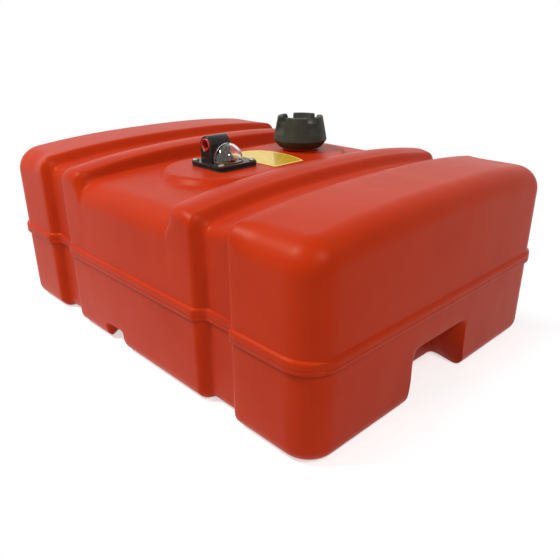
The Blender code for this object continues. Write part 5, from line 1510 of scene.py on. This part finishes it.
class TANK_OT_pickup(Operator):
    """Build the pickup tube and its slotted strainer"""

    bl_idname = "fuel_tank.pickup"
    bl_label = "Pickup"

    def execute(self, context):
        g = context.scene.tank_gauge
        low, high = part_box("pickup_tube")
        middle = (low + high) / 2
        outer = (high.x - low.x) / 2
        place = at(middle.x, middle.y)
        tube = washer(outer - g.tube_wall, outer, low.z, high.z, g.tube_wall * 0.3, SMALL_STEPS)
        finished(mesh_object("pickup_tube_body", *moved(tube, place), ("tube",)), "tank", "tube",
                 "pickup_tube")

        low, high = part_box("pickup_strainer")
        radius = (high.x - low.x) / 2
        collar, inner = outer + GAP, radius - g.strainer_wall
        wall = g.strainer_wall
        cup = turned(((0, low.z), (radius - wall / 2, low.z), (radius, low.z + wall / 2),
                      (radius, high.z - wall / 2), (radius - wall / 2, high.z), (collar, high.z),
                      (collar, high.z - wall), (inner, high.z - wall), (inner, low.z + wall),
                      (0, low.z + wall)), SMALL_STEPS * 2)
        strainer = mesh_object("pickup_strainer_cup", *cup, ("strainer",))
        slot = block(-wall - OVERRUN, wall + OVERRUN, -g.slot_width / 2, g.slot_width / 2,
                     low.z + wall + OVERRUN, high.z - wall - OVERRUN)
        slot = mesh_object("slot", *slot, ("strainer",))
        rounded(slot, g.slot_width / 4)
        slots = repeated("strainer_slots", slot, {"Count": g.slots, "Spread": radius}, "strainer", True)
        combine(strainer, slots, "DIFFERENCE")
        shade(strainer.data)
        strainer.data.transform(place)
        finished(strainer, "tank", "strainer", "pickup_strainer")
        return {"FINISHED"}


class TANK_OT_plug(Operator):
    """Build the hollow travel plug and its sealing ring"""

    bl_idname = "fuel_tank.plug"
    bl_label = "Travel plug"

    def execute(self, context):
        f = context.scene.tank_fitting
        low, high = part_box("outlet_plug")
        ring_low, ring_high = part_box("outlet_plug_o_ring")
        proud = f.barrel_front - low.y
        outer = (high.x - low.x) / 2
        span = high.y - f.barrel_front
        section = (ring_high.y - ring_low.y) / 2
        ring_place = (ring_low.y + ring_high.y) / 2 - f.barrel_front
        seat = outer - section * 2 - GAP
        wall, floor_wall, rim = 0.0030, 0.0040, 0.0008
        inner = outer - wall
        floor = span - floor_wall
        profile = [(0, floor), (inner - rim, floor), (inner, floor - rim), (inner, rim)]
        for k in range(FILLET_STEPS + 1):
            tilt = math.pi * k / FILLET_STEPS
            profile.append(((inner + outer) / 2 - (outer - inner - rim) / 2 * math.cos(tilt),
                            -proud * math.sin(tilt)))
        profile += [(outer, rim / 2), (outer, ring_place - section - GAP), (seat, ring_place - section - GAP),
                    (seat, ring_place + section + GAP), (outer, ring_place + section + GAP),
                    (outer, span - rim), (outer - rim, span), (0, span)]
        place = along_y(f.barrel_x, f.barrel_front, f.barrel_z)
        plug = mesh_object("outlet_plug_body", *moved(turned(profile), place), ("plug",))
        finished(plug, "travel_plug", "plug", "outlet_plug")
        count = SMALL_STEPS // 2
        tore = [(outer - section + section * math.cos(math.tau * k / count),
                 ring_place + section * math.sin(math.tau * k / count)) for k in range(count)]
        ring = mesh_object("outlet_plug_ring", *moved(turned(tore, ROUND_STEPS, True), place), ("rubber",))
        finished(ring, "travel_plug", "rubber", "outlet_plug_o_ring")
        return {"FINISHED"}


class TANK_OT_label(Operator):
    """Build the level label with its border, its plain field and a darker field of painted reflection"""

    bl_idname = "fuel_tank.label"
    bl_label = "Label"

    def execute(self, context):
        sizes = context.scene.tank_label
        low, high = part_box("level_label")
        corners = [(sizes.near_x - sizes.reach_x * u, sizes.near_y + sizes.reach_y * v)
                   for u, v in LABEL_SHARES]
        outline = []
        for k, corner in enumerate(corners):
            before, after = Vector(corners[k - 1]), Vector(corners[(k + 1) % len(corners)])
            here = Vector(corner)
            for share in (0.5, 0.25):
                outline.append(here.lerp(before, share / 2) if k else here)
            outline.append(here)
            outline.append(here.lerp(after, 0.125))
        outline = [tuple(p) for p in dict.fromkeys((round(p[0], 6), round(p[1], 6)) for p in outline)]
        middle = sum((Vector(p) for p in outline), Vector((0, 0))) / len(outline)
        count = len(outline)
        inner = []
        for p in outline:
            off = Vector(p) - middle
            inner.append(middle + off * (1 - sizes.border / off.length))
        points = [Vector((x, y, low.z)) for x, y in outline]
        points += [Vector((x, y, high.z)) for x, y in outline]
        points += [Vector((x, y, high.z)) for x, y in inner]
        faces = [list(range(count))[::-1]]
        for k in range(count):
            n = (k + 1) % count
            faces.append([k, n, count + n, count + k])
            faces.append([count + k, count + n, 2 * count + n, 2 * count + k])
        faces.append(list(range(2 * count, 3 * count)))
        label = mesh_object("level_label_film", points, faces, ("label_border", "label"))
        label.data.polygons[len(faces) - 1].material_index = 1
        finished(label, "tank", "label", "level_label")
        return {"FINISHED"}


class TANK_OT_lens(Operator):
    """Build the clear quarter dome"""

    bl_idname = "fuel_tank.lens"
    bl_label = "Lens"

    def execute(self, context):
        f = context.scene.tank_fitting
        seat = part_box("gauge_lens")[0].z
        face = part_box("gauge_lens")[0].x
        around, upward = SMALL_STEPS, SMALL_STEPS // 2
        points = []
        for radius in (f.lens_radius, f.lens_radius - f.lens_wall):
            for r in range(upward + 1):
                tilt = math.pi / 2 * r / upward
                for k in range(around + 1 if r < upward else 1):
                    angle = math.pi * (k / around - 1 / 2)
                    points.append(Vector((face + radius * math.cos(tilt) * math.cos(angle),
                                          f.lens_y + radius * math.cos(tilt) * math.sin(angle),
                                          seat + radius * math.sin(tilt))))
        row = around + 1
        layer = row * upward + 1

        def point_id(r, k):
            return row * upward if r == upward else r * row + k

        faces = []
        for r in range(upward):
            for k in range(around):
                outer = list(dict.fromkeys((point_id(r, k), point_id(r, k + 1), point_id(r + 1, k + 1),
                                            point_id(r + 1, k))))
                faces.append(outer)
                faces.append([layer + i for i in outer][::-1])
        for k in range(around):
            faces.append([k + 1, k, layer + k, layer + k + 1])
        for r in range(upward):
            low, high = point_id(r, 0), point_id(r + 1, 0)
            faces.append([low, high, layer + high, layer + low])
            low, high = point_id(r, around), point_id(r + 1, around)
            faces.append([high, low, layer + low, layer + high])
        lens = mesh_object("gauge_lens_dome", points, faces, ("lens",))
        finished(lens, "tank", "lens", "gauge_lens")
        return {"FINISHED"}


class TANK_OT_carried(Operator):
    """Give the spring, which keeps its own shape, its finish"""

    bl_idname = "fuel_tank.carried"
    bl_label = "Carried pieces"

    def execute(self, context):
        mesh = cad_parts["vent_valve_spring"].data
        mesh.materials.clear()
        mesh.materials.append(finish_for("steel"))
        return {"FINISHED"}


class TANK_OT_stage(Operator):
    """Set the floor, the light and the camera"""

    bl_idname = "fuel_tank.stage"
    bl_label = "Stage"

    def seen(self, tree):
        """1 for what is seen straight, through glass or mirrored, and 0 for what only lights the object."""
        rays = tree.add("ShaderNodeLightPath")
        straight, clear, mirrored = (Value(tree, rays.outputs[name]) for name in
                                     ("Is Camera Ray", "Is Transmission Ray", "Is Glossy Ray"))
        return tree.math("MAXIMUM", tree.math("MAXIMUM", straight, clear), mirrored)

    def execute(self, context):
        scene = context.scene
        scene.view_settings.view_transform = "Standard"
        floor = mesh_object("floor", [(FLOOR_HALF * x, FLOOR_HALF * y, 0)
                                      for x, y in ((-1, -1), (1, -1), (1, 1), (-1, 1))], ((0, 1, 2, 3),))
        material = bpy.data.materials.new("pale_floor")
        material.use_nodes = True
        tree = Tree(material.node_tree)
        material.node_tree.nodes.clear()
        place = tree.value("ShaderNodeTexCoord", {}, {}, "Object")
        parts = tree.add("ShaderNodeSeparateXYZ", {}, {0: place})
        beside = tree.math("MAXIMUM", abs(Value(tree, parts.outputs[0])) - CAD_HIGH.x,
                           abs(Value(tree, parts.outputs[1])) - CAD_HIGH.y)
        seen = self.seen(tree)
        matt = tree.value("ShaderNodeBsdfDiffuse", {}, {"Color": scene.tank_colours.floor}, 0)
        white = tree.value("ShaderNodeEmission", {}, {"Color": WHITE, "Strength": 1.0}, 0)
        glow = tree.value("ShaderNodeEmission", {}, {"Color": WHITE, "Strength": FLOOR_GLOW}, 0)
        near = tree.value("ShaderNodeAddShader", {}, {0: matt, 1: glow}, 0)
        fade = beside.between(0.0, FLOOR_FADE)
        shown = tree.value("ShaderNodeMixShader", {}, {0: fade, 1: near, 2: white}, 0)
        whole = tree.value("ShaderNodeMixShader", {}, {0: seen, 1: matt, 2: shown}, 0)
        tree.add("ShaderNodeOutputMaterial", {}, {"Surface": whole})
        floor.data.materials.append(material)

        world = bpy.data.worlds.new("studio")
        world.use_nodes = True
        scene.world = world
        world.node_tree.nodes.clear()
        tree = Tree(world.node_tree)
        seen = self.seen(tree)
        strength = seen + (1 - seen) * WORLD_LIGHT
        sky = tree.value("ShaderNodeBackground", {}, {"Color": WHITE, "Strength": strength}, 0)
        tree.add("ShaderNodeOutputWorld", {}, {"Surface": sky})

        for name, place, size, power in LAMPS:
            lamp = bpy.data.lights.new(name, "AREA")
            lamp.size = size
            lamp.energy = power
            item = bpy.data.objects.new(name, lamp)
            item.location = place
            item.rotation_euler = (LAMP_AIM - Vector(place)).to_track_quat("-Z", "Y").to_euler()
            scene.collection.objects.link(item)

        camera = bpy.data.objects.new("camera", bpy.data.cameras.new("camera"))
        scene.collection.objects.link(camera)
        camera.data.sensor_width = SENSOR_WIDTH
        camera.data.lens = CAMERA_FOCUS_PIXELS * SENSOR_WIDTH / IMAGE_SIDE
        camera.data.clip_start = 0.01
        ahead = Vector((-math.sin(CAMERA_YAW) * math.cos(CAMERA_PITCH),
                        math.cos(CAMERA_YAW) * math.cos(CAMERA_PITCH), -math.sin(CAMERA_PITCH)))
        right = Vector((math.cos(CAMERA_YAW), math.sin(CAMERA_YAW), 0.0))
        up = right.cross(ahead)
        c, s = math.cos(CAMERA_ROLL), math.sin(CAMERA_ROLL)
        axes = (c * right + s * up, c * up - s * right, -ahead)
        camera.matrix_world = Matrix.Translation(CAMERA_PLACE) @ Matrix(axes).transposed().to_4x4()
        scene.camera = camera
        return {"FINISHED"}


class TANK_PT_panel(Panel):
    """Buttons and sizes in the sidebar"""

    bl_label = "Fuel tank"
    bl_idname = "TANK_PT_panel"
    bl_space_type = "VIEW_3D"
    bl_region_type = "UI"
    bl_category = "Fuel tank"

    def draw(self, context):
        layout = self.layout
        for operator in OPERATORS:
            layout.operator(operator.bl_idname)
        for name, group in GROUPS.items():
            box = layout.box()
            settings = getattr(context.scene, name)
            for key in group.__annotations__:
                box.prop(settings, key)


OPERATORS = (TANK_OT_shell, TANK_OT_cap, TANK_OT_fitting, TANK_OT_screws, TANK_OT_lens, TANK_OT_gauge,
             TANK_OT_pickup, TANK_OT_plug, TANK_OT_label, TANK_OT_carried, TANK_OT_stage)
GROUPS = {"tank_shell": ShellSizes, "tank_pockets": PocketSizes, "tank_boss": BossSizes,
          "tank_cap": CapSizes, "tank_fitting": FittingSizes, "tank_gauge": GaugeSizes,
          "tank_label": LabelSizes, "tank_colours": FinishColours}


def register():
    """Register the classes, and the settings on the scene."""
    for item in (*GROUPS.values(), *OPERATORS, TANK_PT_panel):
        bpy.utils.register_class(item)
    for name, group in GROUPS.items():
        setattr(bpy.types.Scene, name, PointerProperty(type=group))


def unregister():
    """Take everything back."""
    for name in GROUPS:
        delattr(bpy.types.Scene, name)
    for item in (TANK_PT_panel, *reversed(OPERATORS), *reversed(list(GROUPS.values()))):
        bpy.utils.unregister_class(item)


def main():
    """Build every piece and the stage."""
    register()
    for operator in OPERATORS:
        group, name = operator.bl_idname.split(".")
        getattr(getattr(bpy.ops, group), name)()


if __name__ == "__main__":
    main()
